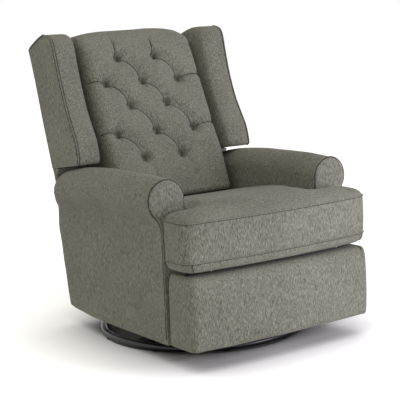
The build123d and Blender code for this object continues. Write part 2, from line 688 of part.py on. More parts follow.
rows = [[in_plane(x, z) for x in xs] for z, xs in BUTTON_ROWS]
buttons = [place for row in rows for place in row]
pleats = []
for upper, lower in zip(rows, rows[1:]):
    for a in upper:
        for b in lower:
            if abs(a[0] - b[0]) < 100:
                pleats.append((a, b))
for row in (rows[1], rows[3]):
    for outer in (row[0], row[-1]):
        pleats.append((outer, (outer[0] / abs(outer[0]) * (BACK_HALF_WIDTH + 30), outer[1])))
for a in rows[0]:
    pleats.append((a, (a[0], a[1] + 150)))
for a in rows[-1]:
    pleats.append((a, (a[0], a[1] - 150)))


def pleat_cutter(a, b):
    """The space between two pillows: a cusp whose sides are round, run from a to b."""
    start = BUTTON_PLANE.from_local_coords(Vector(a[0], a[1], 0))
    way = BUTTON_PLANE.from_local_coords(Vector(b[0], b[1], 0)) - start
    rise = PILLOW_TOP - PLEAT_DEPTH
    radius = (PLEAT_HALF ** 2 + rise ** 2) / (2 * rise)
    turn = atan2(PLEAT_HALF, radius - rise) / 2
    mid = (PLEAT_HALF - radius * sin(turn), PILLOW_TOP - radius + radius * cos(turn))
    across = BUTTON_PLANE.z_dir.cross(way.normalized())
    with BuildSketch(Plane(origin=start, x_dir=across, z_dir=way.normalized())) as cusp:
        with BuildLine() as outline:
            ThreePointArc((0, PLEAT_DEPTH), mid, (PLEAT_HALF, PILLOW_TOP))
            Polyline(
                (PLEAT_HALF, PILLOW_TOP), (PLEAT_HALF, PILLOW_TOP + 60), (-PLEAT_HALF, PILLOW_TOP + 60),
                (-PLEAT_HALF, PILLOW_TOP))
            ThreePointArc((-PLEAT_HALF, PILLOW_TOP), (-mid[0], mid[1]), (0, PLEAT_DEPTH))
        make_face(outline.edges())
    return extrude(cusp.sketch, amount=way.length, mode=Mode.PRIVATE)


cutters = [pleat_cutter(a, b) for a, b in pleats]
with BuildPart() as back_cushion:
    for x, crown, top in reversed(BACK_STATIONS[1:]):
        with BuildSketch(Plane.YZ.offset(-x)):
            back_section(crown, top)
    for x, crown, top in BACK_STATIONS:
        with BuildSketch(Plane.YZ.offset(x)):
            back_section(crown, top)
    loft(ruled=True)
    add(outside_back_panel.part, mode=Mode.SUBTRACT)
    for cutter in cutters:
        add(cutter, mode=Mode.SUBTRACT)
    with BuildSketch(BUTTON_PLANE):
        with Locations(*buttons):
            Circle(BUTTON_RADIUS + 4)
    extrude(amount=60, mode=Mode.SUBTRACT)
save(back_cushion.part, "back_cushion")

with BuildPart() as back_buttons:
    with BuildSketch(BUTTON_PLANE):
        with Locations(*buttons):
            Circle(BUTTON_RADIUS)
    extrude(amount=BUTTON_HEIGHT)
    crowns = faces().filter_by(lambda face: face.normal_at().dot(BUTTON_PLANE.z_dir) > 0.99)
    chamfer(crowns.edges(), 3, 5)
save(back_buttons.part, "back_buttons")


def wing_outline(set_back):
    """The wing's side outline with its front edge moved back, less towards the crown."""
    foot = (WING_FOOT[0] + set_back, WING_FOOT[1])
    cheek = (WING_CHEEK[0] + set_back, WING_CHEEK[1])
    brow = (WING_BROW[0] + set_back * 0.8, WING_BROW[1])
    crown = (WING_CROWN[0] + set_back * 0.5, WING_CROWN[1])
    heel = (WING_HEEL[0] + set_back, WING_HEEL[1])
    with BuildLine() as outline:
        ThreePointArc(foot, (194 + set_back, 690), cheek)
        ThreePointArc(cheek, (292 + set_back, 890), brow)
        ThreePointArc(brow, (350 + set_back * 0.7, 1069), crown)
        ThreePointArc(crown, (457 + set_back * 0.2, 1062), REAR_TOP)
        Polyline(REAR_TOP, (rear_y(WING_BOTTOM_Z), WING_BOTTOM_Z), (UNDER_WING_Y, WING_BOTTOM_Z), heel)
        ThreePointArc(heel, (183 + set_back, 622), foot)
    make_face(outline.edges())


with BuildPart() as wing_right:
    with BuildSketch(Plane.YZ.offset(WING_NOSE_X)):
        wing_outline(0)
    extrude(amount=WING_OUTER_X - WING_NOSE_X)
    for x, set_back in ((WING_NOSE_X, 0), (WING_NOSE_X - 12, 8), (WING_INNER_X, WING_SET_BACK)):
        with BuildSketch(Plane.YZ.offset(x)):
            wing_outline(set_back)
    loft(ruled=True)
save(wing_right.part, "wing_right")
save(mirror(wing_right.part, about=Plane.YZ), "wing_left")

with BuildPart() as wing_post_right:
    with BuildSketch(Plane.YZ.offset(WING_INNER_X)):
        Polygon((352, POST_BOTTOM_Z), (rear_y(POST_BOTTOM_Z), POST_BOTTOM_Z),
                (rear_y(WING_BOTTOM_Z), WING_BOTTOM_Z), (UNDER_WING_Y, WING_BOTTOM_Z), align=None)
    extrude(amount=WING_OUTER_X - WING_INNER_X)
save(wing_post_right.part, "wing_post_right")
save(mirror(wing_post_right.part, about=Plane.YZ), "wing_post_left")

# ============================================================ footrest
RIVET_HEAD_X = OUTER_LINK_X + LINK_T + RIVET_PLAY
with BuildPart() as drive_links:
    with BuildSketch(Plane.YZ.offset(DRIVE_X)):
        bar_between(DRIVE_PIVOT, ELBOW, LINK_WIDTH)
        hole(DRIVE_PIVOT, RIVET_RADIUS + RUNNING)
        hole(ELBOW, RIVET_RADIUS)
        hole(GUIDE_ELBOW, RIVET_RADIUS)
    extrude(amount=LINK_T)
    both_sides()
save(drive_links.part, "drive_links")

with BuildPart() as torque_tube:
    with BuildSketch(Plane.YZ.offset(-DRIVE_X)):
        with Locations(TORQUE_TUBE_AT):
            Circle(TORQUE_TUBE_RADIUS)
            Circle(TORQUE_TUBE_RADIUS - TORQUE_TUBE_WALL, mode=Mode.SUBTRACT)
    extrude(amount=2 * DRIVE_X)
save(torque_tube.part, "torque_tube")

with BuildPart() as drive_link_rivets:
    pins([ELBOW, GUIDE_ELBOW], RIVET_RADIUS, DRIVE_X, RIVET_HEAD_X, RIVET_HEAD_RADIUS, RIVET_HEAD_T)
    both_sides()
save(drive_link_rivets.part, "drive_link_rivets")

with BuildPart() as rear_drive_links:
    with BuildSketch(Plane.YZ.offset(DRIVE_X)):
        bar_between(REAR_DRIVE_PIVOT, REAR_ELBOW, LINK_WIDTH)
        hole(REAR_DRIVE_PIVOT, RIVET_RADIUS + RUNNING)
        hole(REAR_ELBOW, RIVET_RADIUS)
    extrude(amount=LINK_T)
    both_sides()
save(rear_drive_links.part, "rear_drive_links")

with BuildPart() as rear_drive_rivets:
    pins([REAR_ELBOW], RIVET_RADIUS, DRIVE_X, RIVET_HEAD_X, RIVET_HEAD_RADIUS, RIVET_HEAD_T)
    both_sides()
save(rear_drive_rivets.part, "rear_drive_rivets")

with BuildPart() as carrying_links:
    with BuildSketch(Plane.YZ.offset(OUTER_LINK_X)):
        bar_between(REAR_ELBOW, ELBOW, LINK_WIDTH)
        bar_between(ELBOW, FOOT_PIVOT, LINK_WIDTH)
        hole(REAR_ELBOW, RIVET_RADIUS + OPEN_PIVOT)
        hole(ELBOW, RIVET_RADIUS + RUNNING)
        hole(FOOT_PIVOT, RIVET_RADIUS + RUNNING)
    extrude(amount=LINK_T)
    both_sides()
save(carrying_links.part, "carrying_links")

with BuildPart() as guide_links:
    with BuildSketch(Plane.YZ.offset(OUTER_LINK_X)):
        bar_between(GUIDE_ELBOW, GUIDE_PIVOT, LINK_WIDTH)
        hole(GUIDE_ELBOW, RIVET_RADIUS + RUNNING)
        hole(GUIDE_PIVOT, RIVET_RADIUS + OPEN_PIVOT)
    extrude(amount=LINK_T)
    both_sides()
save(guide_links.part, "guide_links")

BOARD_Y = FOOT_REAR_Y + FOOT_BOARD_T
with BuildPart() as footrest_brackets:
    with BuildSketch(Plane.YZ.offset(DRIVE_X)):
        with BuildLine():
            Polyline(
                (BOARD_Y, 160), (BOARD_Y, 272), (GUIDE_PIVOT[0] + 4, GUIDE_PIVOT[1] + 12),
                (FOOT_PIVOT[0] + 12, FOOT_PIVOT[1] - 4), (FOOT_PIVOT[0], FOOT_PIVOT[1] - 12), close=True)
        make_face()
        hole(FOOT_PIVOT, RIVET_RADIUS)
        hole(GUIDE_PIVOT, RIVET_RADIUS)
    extrude(amount=LINK_T)
    with BuildSketch(Plane.XZ.offset(-BOARD_Y - 3)):
        with Locations((DRIVE_X - 12, 216)):
            Rectangle(24, 112)
    extrude(amount=3)
    both_sides()
save(footrest_brackets.part, "footrest_brackets")

with BuildPart() as footrest_rivets:
    pins([FOOT_PIVOT, GUIDE_PIVOT], RIVET_RADIUS, DRIVE_X, RIVET_HEAD_X, RIVET_HEAD_RADIUS, RIVET_HEAD_T)
    both_sides()
save(footrest_rivets.part, "footrest_rivets")

with BuildPart() as footrest_board:
    with BuildSketch(Plane.XZ.offset(-BOARD_Y)):
        with Locations((0, sum(FOOT_BOARD_HEIGHTS) / 2)):
            RectangleRounded(2 * FOOT_BOARD_HALF, FOOT_BOARD_HEIGHTS[1] - FOOT_BOARD_HEIGHTS[0], 12)
    extrude(amount=FOOT_BOARD_T)
save(footrest_board.part, "footrest_board")


def foot_outline(inset, front, bow):
    """The footrest pad's plan: a straight back, rounded front corners and a bowed front."""
    half = FOOT_HALF_WIDTH - inset
    corner = 30
    nip = corner * (1 - cos(pi / 4))
    with BuildLine() as outline:
        ThreePointArc((-half + corner, front), (0, front - bow), (half - corner, front))
        ThreePointArc((half - corner, front), (half - nip, front + nip), (half, front + corner))
        Line((half, front + corner), (half, FOOT_REAR_Y))
        Line((half, FOOT_REAR_Y), (-half, FOOT_REAR_Y))
        Line((-half, FOOT_REAR_Y), (-half, front + corner))
        ThreePointArc((-half, front + corner), (-half + nip, front + nip), (-half + corner, front))
    make_face(outline.edges())


# height, inset of the sides, front near the corners, bow of the front
FOOT_STATIONS = [(FOOT_BOTTOM_Z, 12, -481, 10), (88, 4, -495, 12), (180, 0, -501, 13), (268, 0, -495, 12),
                 (298, 4, -482, 10), (FOOT_TOP_Z, 14, -462, 8)]
with BuildPart() as footrest_pad:
    for z, inset, front, bow in FOOT_STATIONS:
        with BuildSketch(Plane.XY.offset(z)):
            foot_outline(inset, front, bow)
    loft(ruled=True)
save(footrest_pad.part, "footrest_pad")

with BuildPart() as footrest_side_right:
    with BuildSketch(Plane.XY.offset(FOOT_BOTTOM_Z)):
        with Locations((FOOT_HALF_WIDTH - FOOT_SIDE_T / 2, (FOOT_REAR_Y + FOOT_SIDE_BACK_Y) / 2)):
            Rectangle(FOOT_SIDE_T, FOOT_SIDE_BACK_Y - FOOT_REAR_Y)
    extrude(amount=FOOT_TOP_Z - FOOT_BOTTOM_Z)
    fillet(edges().filter_by(Axis.Y).sort_by(Axis.Z)[-2:], 10)
save(footrest_side_right.part, "footrest_side_right")
save(mirror(footrest_side_right.part, about=Plane.YZ), "footrest_side_left")
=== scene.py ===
import json
from math import atan2, cos, exp, hypot, pi, radians, sin, sqrt

import bmesh
import bpy
from mathutils import Matrix, Vector, noise


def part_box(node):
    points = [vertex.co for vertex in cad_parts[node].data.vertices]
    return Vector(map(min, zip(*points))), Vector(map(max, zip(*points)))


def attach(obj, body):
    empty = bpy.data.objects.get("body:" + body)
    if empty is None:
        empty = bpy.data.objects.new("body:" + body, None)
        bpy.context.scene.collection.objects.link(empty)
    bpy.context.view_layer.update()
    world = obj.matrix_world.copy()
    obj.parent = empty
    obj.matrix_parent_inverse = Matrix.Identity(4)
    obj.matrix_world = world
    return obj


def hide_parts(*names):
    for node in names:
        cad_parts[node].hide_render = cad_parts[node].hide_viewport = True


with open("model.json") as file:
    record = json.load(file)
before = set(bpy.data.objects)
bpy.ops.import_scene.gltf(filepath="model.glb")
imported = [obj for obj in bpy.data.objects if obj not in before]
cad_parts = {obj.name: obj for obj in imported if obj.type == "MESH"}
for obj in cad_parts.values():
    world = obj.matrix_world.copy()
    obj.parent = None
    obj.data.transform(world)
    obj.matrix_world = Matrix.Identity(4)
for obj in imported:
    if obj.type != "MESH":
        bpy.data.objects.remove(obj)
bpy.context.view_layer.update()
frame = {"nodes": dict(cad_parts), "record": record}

# Lengths are millimetres until `metres` turns them into the frame's metres.
MM = 0.001
SIDES = {"left": -1, "right": 1}   # as seen from in front of the chair

# ------------------------------------------------------------------- studio
# Lengths here are in metres.
FLOOR_REACH = 14
FLOOR_SHADE_REACH = 0.32   # how far from the chair the floor darkens
FLOOR_SHADE_SAMPLES = 24
FLOOR_GAIN = 2.2           # lifts the lit floor to white for the camera
FLOOR_BOUNCE = 0.9         # the floor's own reflectance, which lights the chair from below
AMBIENT = 0.44
AMBIENT_COLOUR = (1.0, 0.985, 0.945)
KEY_AT = (1.35, -2.35, 0.80)
KEY_TO = (0.0, -0.35, 0.50)
KEY_SIZE = 1.3
KEY_POWER = 29.5
KEY_COLOUR = (1.02, 0.99, 1.17)
FILL_TRAVEL = (0.45, 0.25, -0.86)
FILL_POWER = 0.42
FILL_SPREAD = radians(60)

# ------------------------------------------------------------------ camera
CAMERA_AT = Vector((-2.46370, -3.57081, 1.19069))
CAMERA_AHEAD = Vector((0.56214, 0.81051, -0.16454)).normalized()
CAMERA_ROLL = radians(-2.2)
CAMERA_LENS = 108.85
CAMERA_SENSOR = 36

# -------------------------------------------------------------------- arms
ARM_INNER_X = 280
ARM_ROLL = 70
ARM_FRONT_Y = -325
ARM_REAR_Y = 360
ARM_FOOT_Z = 64
# y, crest z, outer face at the neck, outer face at the foot, inset of the section
ARM_STATIONS = [(-325, 617, 372, 370, 0), (-180, 623, 375, 371, 0), (0, 621, 376, 373, 0),
                (160, 611, 376, 368, 0), (270, 596, 377, 356, 2), (318, 585, 378, 352, 7),
                (342, 571, 379, 350, 20), (354, 557, 378, 349, 28), (360, 543, 377, 348, 36)]

ARM_STEP = 9.5
ARM_STEPS = 66
ARM_REAR_YS = [302, 311, 319, 326, 332, 337, 342, 346, 350, 354, 357, 359, ARM_REAR_Y]
ARM_OUTER_X = 340          # the outer part of the section starts here
ARM_SWELL = 5              # how far the outer panel fills out
ROLL_END = -43             # degrees round the roll, where it leaves for the neck
NECK_DROP = 181            # from the crest down to the neck
TUCK_DROP = 140            # and down to the point that the tuck under the roll bends towards
# inset from the arm's section, how far in front of it: the facing's rounded edge
FACING_SHAPE = [(2.5, 0), (2.5, 4), (3, 6.2), (5, 8.2), (11, 9.6), (20, 10.2)]
FACING_EDGE_POINTS = 112   # how much of the arm's section the welt follows, from the inner foot
# name, inset, how far in front of the arm, radius; the second cord is a dark line of painted shade beside
# the welt
FACING_CORDS = [("welt", -0.4, 1.2, 2.2), ("seam_shade", 1.0, 4.4, 1.3)]

# -------------------------------------------------------------------- seat
SEAT_HALF = 268
EAR_HALF = 388
EAR_BACK_Y = -365
SEAT_FRONT_Y = -488
SEAT_BOW = 19
SEAT_REAR_Y = 212
SEAM_LOW_Z = 362
SEAM_HIGH_Z = 492
LOW_SEAM_END_Y = 180
HIGH_SEAM_END_Y = -45      # where the top has dropped to the seam
CORNER_POINT = 43          # the outline's point on the front corner
SEAT_CORNER = 46           # the radius of the front corners
# name, inset, how far below the seam's height, radius; the second cords are dark lines of painted shade in
# the grooves under the welts
SEAT_CORDS = [("welts", -0.8, 0, 2.0), ("seam_shades", 0.4, 2.8, 1.2)]
SEAT_VOXEL = 7
SEAT_SWELL = 14            # the most that the stuffing may push a point out
SWELL_FRAMES = 20
# y, z of the top, which drops away to the rear
SEAT_TOP = [(-440, 531), (-400, 531), (-300, 526), (-150, 511), (0, 489), (100, 470), (164, 453),
            (225, 436)]
# z, inset, how far the front pulls in
SEAT_STATIONS = [(326, 46, 2), (327.5, 24, 2), (334, 10, 1), (346, 3, 0), (SEAM_LOW_Z, 0, 0),
                 (394, -1.5, 1), (427, -2, 2), (460, -1.5, 1), (SEAM_HIGH_Z, 0, 0), (503, 6, 0),
                 (511, 15, 0), (516, 28, 0), (519, 52, 0)]

# -------------------------------------------------------------------- back
BACK_SLOPE = 0.4615        # y for each z, up the front
BUTTON_Y = 202             # a point of the plane that the buttons lie in
BUTTON_Z = 606
BACK_HALF = 249
BACK_SHOULDER = 204        # where the front starts to turn back to its sides
CROWN = 41                 # how far the front stands out of the button plane
NOSE_Z = 490               # where the front turns under
BROW_DROP = 78             # from the crest down to where the front starts to roll over
CREST_BACK = 96            # and from there back to the crest
NAPE_Z, NAPE_DROP = 1037, 26   # the roll ends at this height, and at least this far under the crest
LOW_REAR_Z = 450
UNDER = (227, 439)         # y, z of the underside's front
BACK_REAR = (312, 440)     # y, z of the underside's rear
BACK_STEPS = 212
# z, how far the cushion's side edges stand behind the button plane
SIDE_SET_BACK = [(440, 35), (493, 24), (560, 6), (623, -5), (700, 4), (900, 8), (1000, 9)]
# x, z of the rolled top
BACK_TOPS = [(-249, 1062), (-230, 1070), (-185, 1076), (-120, 1079), (0, 1080), (60, 1082),
             (120, 1080), (178, 1072), (218, 1056), (249, 1034)]
DIMPLE_SHIFT = -19
REAR_SLOPE = 0.3217        # y for each z, up the rear
REAR_TOP = (514, 1023)     # y, z
PANEL_T = 14
PANEL_HALF = 266
BUTTON_ROWS = [(970, (-82, 82)), (881, (-160, 0, 160)), (796, (-80, 80)),
               (698, (-168, 0, 168)), (608, (-82, 82))]
PLANE_LENGTH = hypot(1, BACK_SLOPE)
# sag, depth half way, depth at the ends, width to each side, where a dark line of painted shade lies in it
SHARP_FOLD = (14, 16, 26, 25, 44, (0.08, 0.92))
SOFT_FOLD = (0, 5, 20, 44, 44)
TOP_FOLD = (3, 6, 13, 16, 26, (0.16, 0.85))
LOW_FOLD = (6, 7, 13, 20, 30)
SIDE_FOLD = (10, 13, 20, 28, (0.14, 0.86))   # without the sag, which differs on the two sides
FOLD_FADE = 0.12           # the share of its length over which a fold fades out past its ends
FOLD_REACH = 190           # how far from its start a fold can matter
BUTTON_REACH = 62          # and how far from its middle a button can
DIMPLE_DEPTH = 40
DIMPLE_FALL = 9            # the dimple's flat radius and the rate at which it rises outside that
GATHERS = 7
GATHER_DEPTH = 1.6
CREASE_STEPS = 28
CREASE_LIFT = 1.8          # how far a dark line of painted shade stands out of the bottom of its fold
# radius, height: the button's profile from its rim to its top
BUTTON_PROFILE = [(10.5, -3), (11.5, 0), (11.2, 2), (9.6, 4), (6.6, 5.4), (3, 6)]
BUTTON_SIDES = 28

# ------------------------------------------------------------------- wings
WING_OUTER_X = 383
WING_INNER_X = 268
# y, z up the front edge and the rear edge
WING_FRONT = [(194, 617), (184, 623), (182, 636), (188, 662), (201, 700), (226, 742), (262, 806),
              (293, 886), (316, 968), (331, 1036), (341, 1060), (360, 1074), (390, 1080)]
WING_REAR = [(375, 591), (388, 632), (410, 700), (435, 780), (459, 862), (479, 930), (497, 985),
             (512, 1023)]
WING_TOE = 6               # how far the front edge leans in, half way up
WING_FORWARD = 8.5         # and how far it stands forward there
WING_BULGE = 1.6           # how far the outer face fills out
WING_BOW = 5               # how far the top arches
WING_LEVELS = 64
# points along a level: outer face, inner face and rear
WING_FACE_STEPS, WING_INNER_STEPS, WING_REAR_STEPS = 16, 10, 12
# x, how far behind the front edge: the sweep from the outer welt in to the cushion
WING_SWEEP = [(383, 4), (381, 0), (368, -3), (345, -3), (316, -1), (298, 4), (286, 12), (279, 28),
              (274, 50), (268, 80)]
# radius and offset of the cords along the front edge and the crown: the welt, and dark lines of painted
# shade beside it, below it at the crown and within it
WING_WELT_RADIUS = 2.4
WING_SEAM_SHADE_RADIUS = 1.2
WING_INNER_SEAM_SHADE_RADIUS = 0.8
BESIDE_WELT = (0.9, 5.4, 0)
BELOW_WELT = (1.0, 0, -4.5)
WITHIN_WELT = (-5.2, -2.0, 0)
# y, z round the post behind the arm
POST = [(351, 538), (358, 538), (376.5, 594), (329, 594), (346, 568)]
POST_MIDDLE = (357, 572)
POST_STATIONS = [(269, 2), (271, 0), (381, 0), (383, 2)]   # x, inset

# ---------------------------------------------------------------- footrest
FOOT_HALF = 378
FOOT_SIDE = 345
FOOT_FRONT_Y = -500
FOOT_REAR_Y = -425
FOOT_BACK_Y = -367
FOOT_BOW = 13
FOOT_CORNER = 30
FOOT_INNER_ZS = (311, 250, 190, 130, 76)
# points along the side, the corner and half of the front
FOOT_SIDE_STEPS, FOOT_CORNER_STEPS, FOOT_FRONT_STEPS = 14, 10, 44
# z, how far the face stands back there
FOOT_FACE = [(72, 14), (73, 8), (77, 3), (86, 0.5), (110, -1), (160, -2), (210, -1), (255, 1.5),
             (282, 4), (297, 9), (306, 15), (311.5, 23), (314, 34)]


# ============================================================== geometry
def metres(x, y, z):
    return Vector((x, y, z)) * MM


def line(a, b, count):
    """Points from a towards b, without b itself."""
    return [tuple(p + (q - p) * i / count for p, q in zip(a, b)) for i in range(count)]


def arc(centre, radius, start, end, count):
    """Points on a circle from the angle start towards end, in degrees, without the end."""
    turns = [radians(start + (end - start) * i / count) for i in range(count)]
    return [(centre[0] + radius * cos(turn), centre[1] + radius * sin(turn)) for turn in turns]


def bend(a, control, b, count):
    """Points on a quadratic curve from a towards b."""
    made = []
    for i in range(count):
        t = i / count
        made.append(tuple((1 - t) ** 2 * p + 2 * t * (1 - t) * c + t * t * q
                          for p, c, q in zip(a, control, b)))
    return made


def through(a, b, c, count):
    """Points on a curve that leaves a, passes b halfway and heads for c."""
    control = tuple(2 * m - (p + q) / 2 for p, m, q in zip(a, b, c))
    return bend(a, control, c, count)


def spline(knots, steps):
    """A smooth curve through the knots, with steps points for each span."""
    made = []
    last = len(knots) - 1
    for i in range(last):
        a, b, c, d = knots[max(i - 1, 0)], knots[i], knots[i + 1], knots[min(i + 2, last)]
        for s in range(steps):
            t = s / steps
            made.append(tuple(
                0.5 * (2 * q + (r - p) * t + (2 * p - 5 * q + 4 * r - u) * t * t
                       + (3 * q - p - 3 * r + u) * t ** 3)
                for p, q, r, u in zip(a, b, c, d)))
    made.append(tuple(knots[-1]))
    return made


def even(points, count):
    """count points evenly spaced along a polyline, both ends included."""
    reach = [0.0]
    for p, q in zip(points, points[1:]):
        reach.append(reach[-1] + sqrt(sum((b - a) ** 2 for a, b in zip(p, q))))
    made, i = [], 0
    for n in range(count):
        want = reach[-1] * n / (count - 1)
        while i < len(points) - 2 and reach[i + 1] < want:
            i += 1
        t = (want - reach[i]) / max(reach[i + 1] - reach[i], 1e-9)
        made.append(tuple(a + (b - a) * t for a, b in zip(points[i], points[i + 1])))
    return made


def lookup(knots, t):
    """The values at t of rows (t, value, ...), on smooth curves that don't overshoot the rows."""
    if t <= knots[0][0]:
        return knots[0][1:]
    for i, (low, high) in enumerate(zip(knots, knots[1:])):
        if t <= high[0]:
            before, after = knots[max(i - 1, 0)], knots[min(i + 2, len(knots) - 1)]
            first, last = i == 0, i + 2 == len(knots)
            span = high[0] - low[0]
            u = (t - low[0]) / span
            values = []
            for k in range(1, len(low)):
                rise = (high[k] - low[k]) / span
                rise_in = rise if first else (low[k] - before[k]) / max(low[0] - before[0], 1e-9)
                rise_out = rise if last else (after[k] - high[k]) / max(after[0] - high[0], 1e-9)
                m0 = 0 if rise_in * rise <= 0 else 2 * rise_in * rise / (rise_in + rise)
                m1 = 0 if rise_out * rise <= 0 else 2 * rise_out * rise / (rise_out + rise)
                values.append(
                    (2 * u ** 3 - 3 * u * u + 1) * low[k] + (u ** 3 - 2 * u * u + u) * span * m0
                    + (3 * u * u - 2 * u ** 3) * high[k] + (u ** 3 - u * u) * span * m1)
            return tuple(values)
    return knots[-1][1:]


def ease(t):
    t = min(max(t, 0.0), 1.0)
    return t * t * (3 - 2 * t)


def ripple(x, y, z, size, amount):
    """Gentle unevenness of stuffed cloth, in millimetres."""
    return noise.noise(Vector((x, y, z)) / size) * amount


def loft(rings):
    """Vertices and faces of a closed skin over rings of equal count."""
    count = len(rings[0])
    faces = []
    for i in range(len(rings) - 1):
        for j in range(count):
            k = (j + 1) % count
            faces.append((i * count + j, i * count + k, (i + 1) * count + k, (i + 1) * count + j))
    faces.append(tuple(reversed(range(count))))
    faces.append(tuple((len(rings) - 1) * count + j for j in range(count)))
    return [p for ring in rings for p in ring], faces


def piece(name, lofts, material, sharp=50):
    """A mesh object from one or more lofts, each a list of rings of points in metres."""
    vertices, faces = [], []
    for rings in lofts:
        points, skin = loft(rings)
        faces += [tuple(k + len(vertices) for k in face) for face in skin]
        vertices += points
    mesh = bpy.data.meshes.new(name)
    mesh.from_pydata(vertices, [], faces)
    tidy = bmesh.new()
    tidy.from_mesh(mesh)
    bmesh.ops.recalc_face_normals(tidy, faces=tidy.faces)
    tidy.to_mesh(mesh)
    tidy.free()
    mesh.polygons.foreach_set("use_smooth", [True] * len(mesh.polygons))
    mesh.set_sharp_from_angle(angle=radians(sharp))
    mesh.materials.append(material)
    made = bpy.data.objects.new(name, mesh)
    bpy.context.scene.collection.objects.link(made)
    return made


def welts(name, paths, radius, material, body):
    """Cords that follow paths of points in metres, as one piece: sewn welts, or dark lines of painted
    shade.
    """
    curve = bpy.data.curves.new(name, "CURVE")
    curve.dimensions = "3D"
    curve.bevel_depth = radius * MM
    curve.bevel_resolution = 2
    curve.use_fill_caps = True
    for path in paths:
        run = curve.splines.new("POLY")
        run.points.add(len(path) - 1)
        for point, place in zip(run.points, path):
            point.co = (*place, 1)
        run.use_smooth = True
    curve.materials.append(material)
    made = bpy.data.objects.new(name, curve)
    bpy.context.scene.collection.objects.link(made)
    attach(made, body)
    return made


def dress(made, body, nodes):
    """Puts an upholstered piece on its body in place of its CAD solids."""
    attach(made, body)
    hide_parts(*nodes)
    return made


# ============================================================== materials
def blank(name):
    material = bpy.data.materials.new(name)
    material.use_nodes = True
    tree = material.node_tree
    return material, tree.nodes, tree.links, tree.nodes["Principled BSDF"]


def grain(nodes, links, vector, scale, detail=2.0):
    """Noise stretched by a scale for each axis, in features per metre."""
    mapping = nodes.new("ShaderNodeMapping")
    mapping.inputs["Scale"].default_value = scale
    links.new(vector, mapping.inputs["Vector"])
    texture = nodes.new("ShaderNodeTexNoise")
    texture.inputs["Scale"].default_value = 1.0
    texture.inputs["Detail"].default_value = detail
    texture.inputs["Roughness"].default_value = 0.6
    links.new(mapping.outputs["Vector"], texture.inputs["Vector"])
    return texture.outputs[0]


def calculate(nodes, links, operation, a, b):
    """One Math node on two sockets or numbers."""
    node = nodes.new("ShaderNodeMath")
    node.operation = operation
    for socket, value in zip(node.inputs, (a, b)):
        if isinstance(value, (int, float)):
            socket.default_value = value
        else:
            links.new(value, socket)
    return node.outputs[0]


def blend_values(nodes, links, factor, a, b):
    node = nodes.new("ShaderNodeMix")
    links.new(factor, node.inputs["Factor"])
    links.new(a, node.inputs[2])
    links.new(b, node.inputs[3])
    return node.outputs[0]


def ramp(nodes, links, value, stops):
    node = nodes.new("ShaderNodeValToRGB")
    scale = node.color_ramp
    while len(scale.elements) < len(stops):
        scale.elements.new(0.5)
    for element, (place, colour) in zip(scale.elements, stops):
        element.position = place
        element.color = (*colour, 1)
    links.new(value, node.inputs[0])
    return node.outputs["Color"]


def bump(nodes, links, height, strength, distance, bsdf):
    node = nodes.new("ShaderNodeBump")
    node.inputs["Strength"].default_value = strength
    node.inputs["Distance"].default_value = distance
    links.new(height, node.inputs["Height"])
    links.new(node.outputs["Normal"], bsdf.inputs["Normal"])


# the cloth's noises: features per metre along each axis, and how much of the tone each gives
SLUBS_UPRIGHT, SLUBS_FLAT, SLUBS = (460, 460, 80), (460, 80, 460), 0.68
PICKS_SCALE, PICKS = (170, 170, 430), 0.10
FLECKS_SCALE, FLECKS = (640, 640, 640), 0.22
WEAR_SCALE, WEAR = (5, 5, 4), 0.10
# where along the tone each colour of thread lies
THREADS = [(0.445, (0.117, 0.117, 0.088)), (0.55, (0.226, 0.224, 0.177)), (0.66, (0.370, 0.367, 0.301))]
# how upward the normal points where the slubs start to turn, and where they have turned
LEVEL_FROM, LEVEL_TO = 0.62, 0.86


def tweed(name):
    """Heathered cloth: long slubs down the upright faces and along the flat ones, and a plain weave."""
    material, nodes, links, bsdf = blank(name)
    coords = nodes.new("ShaderNodeTexCoord")
    place = coords.outputs["Object"]
    facing = nodes.new("ShaderNodeSeparateXYZ")
    links.new(coords.outputs["Normal"], facing.inputs[0])
    upward = calculate(nodes, links, "ABSOLUTE", facing.outputs["Z"], 0.0)
    flat = nodes.new("ShaderNodeMapRange")
    flat.interpolation_type = "SMOOTHSTEP"
    flat.inputs["From Min"].default_value = LEVEL_FROM
    flat.inputs["From Max"].default_value = LEVEL_TO
    links.new(upward, flat.inputs["Value"])
    slubs = blend_values(
        nodes, links, flat.outputs["Result"],
        grain(nodes, links, place, SLUBS_UPRIGHT), grain(nodes, links, place, SLUBS_FLAT))
    picks = grain(nodes, links, place, PICKS_SCALE)
    flecks = grain(nodes, links, place, FLECKS_SCALE, 1.0)
    wear = grain(nodes, links, place, WEAR_SCALE)
    mixed = calculate(nodes, links, "MULTIPLY", slubs, SLUBS)
    mixed = calculate(nodes, links, "ADD", mixed, calculate(nodes, links, "MULTIPLY", picks, PICKS))
    mixed = calculate(nodes, links, "ADD", mixed, calculate(nodes, links, "MULTIPLY", flecks, FLECKS))
    toned = calculate(nodes, links, "ADD", mixed, calculate(nodes, links, "MULTIPLY", wear, WEAR))
    colour = ramp(nodes, links, toned, THREADS)
    links.new(colour, bsdf.inputs["Base Color"])
    bsdf.inputs["Roughness"].default_value = 0.92
    bsdf.inputs["Specular IOR Level"].default_value = 0.25
    bsdf.inputs["Sheen Weight"].default_value = 0.12
    bsdf.inputs["Sheen Roughness"].default_value = 0.5
    bump(nodes, links, mixed, 0.42, 0.0016, bsdf)
    return material


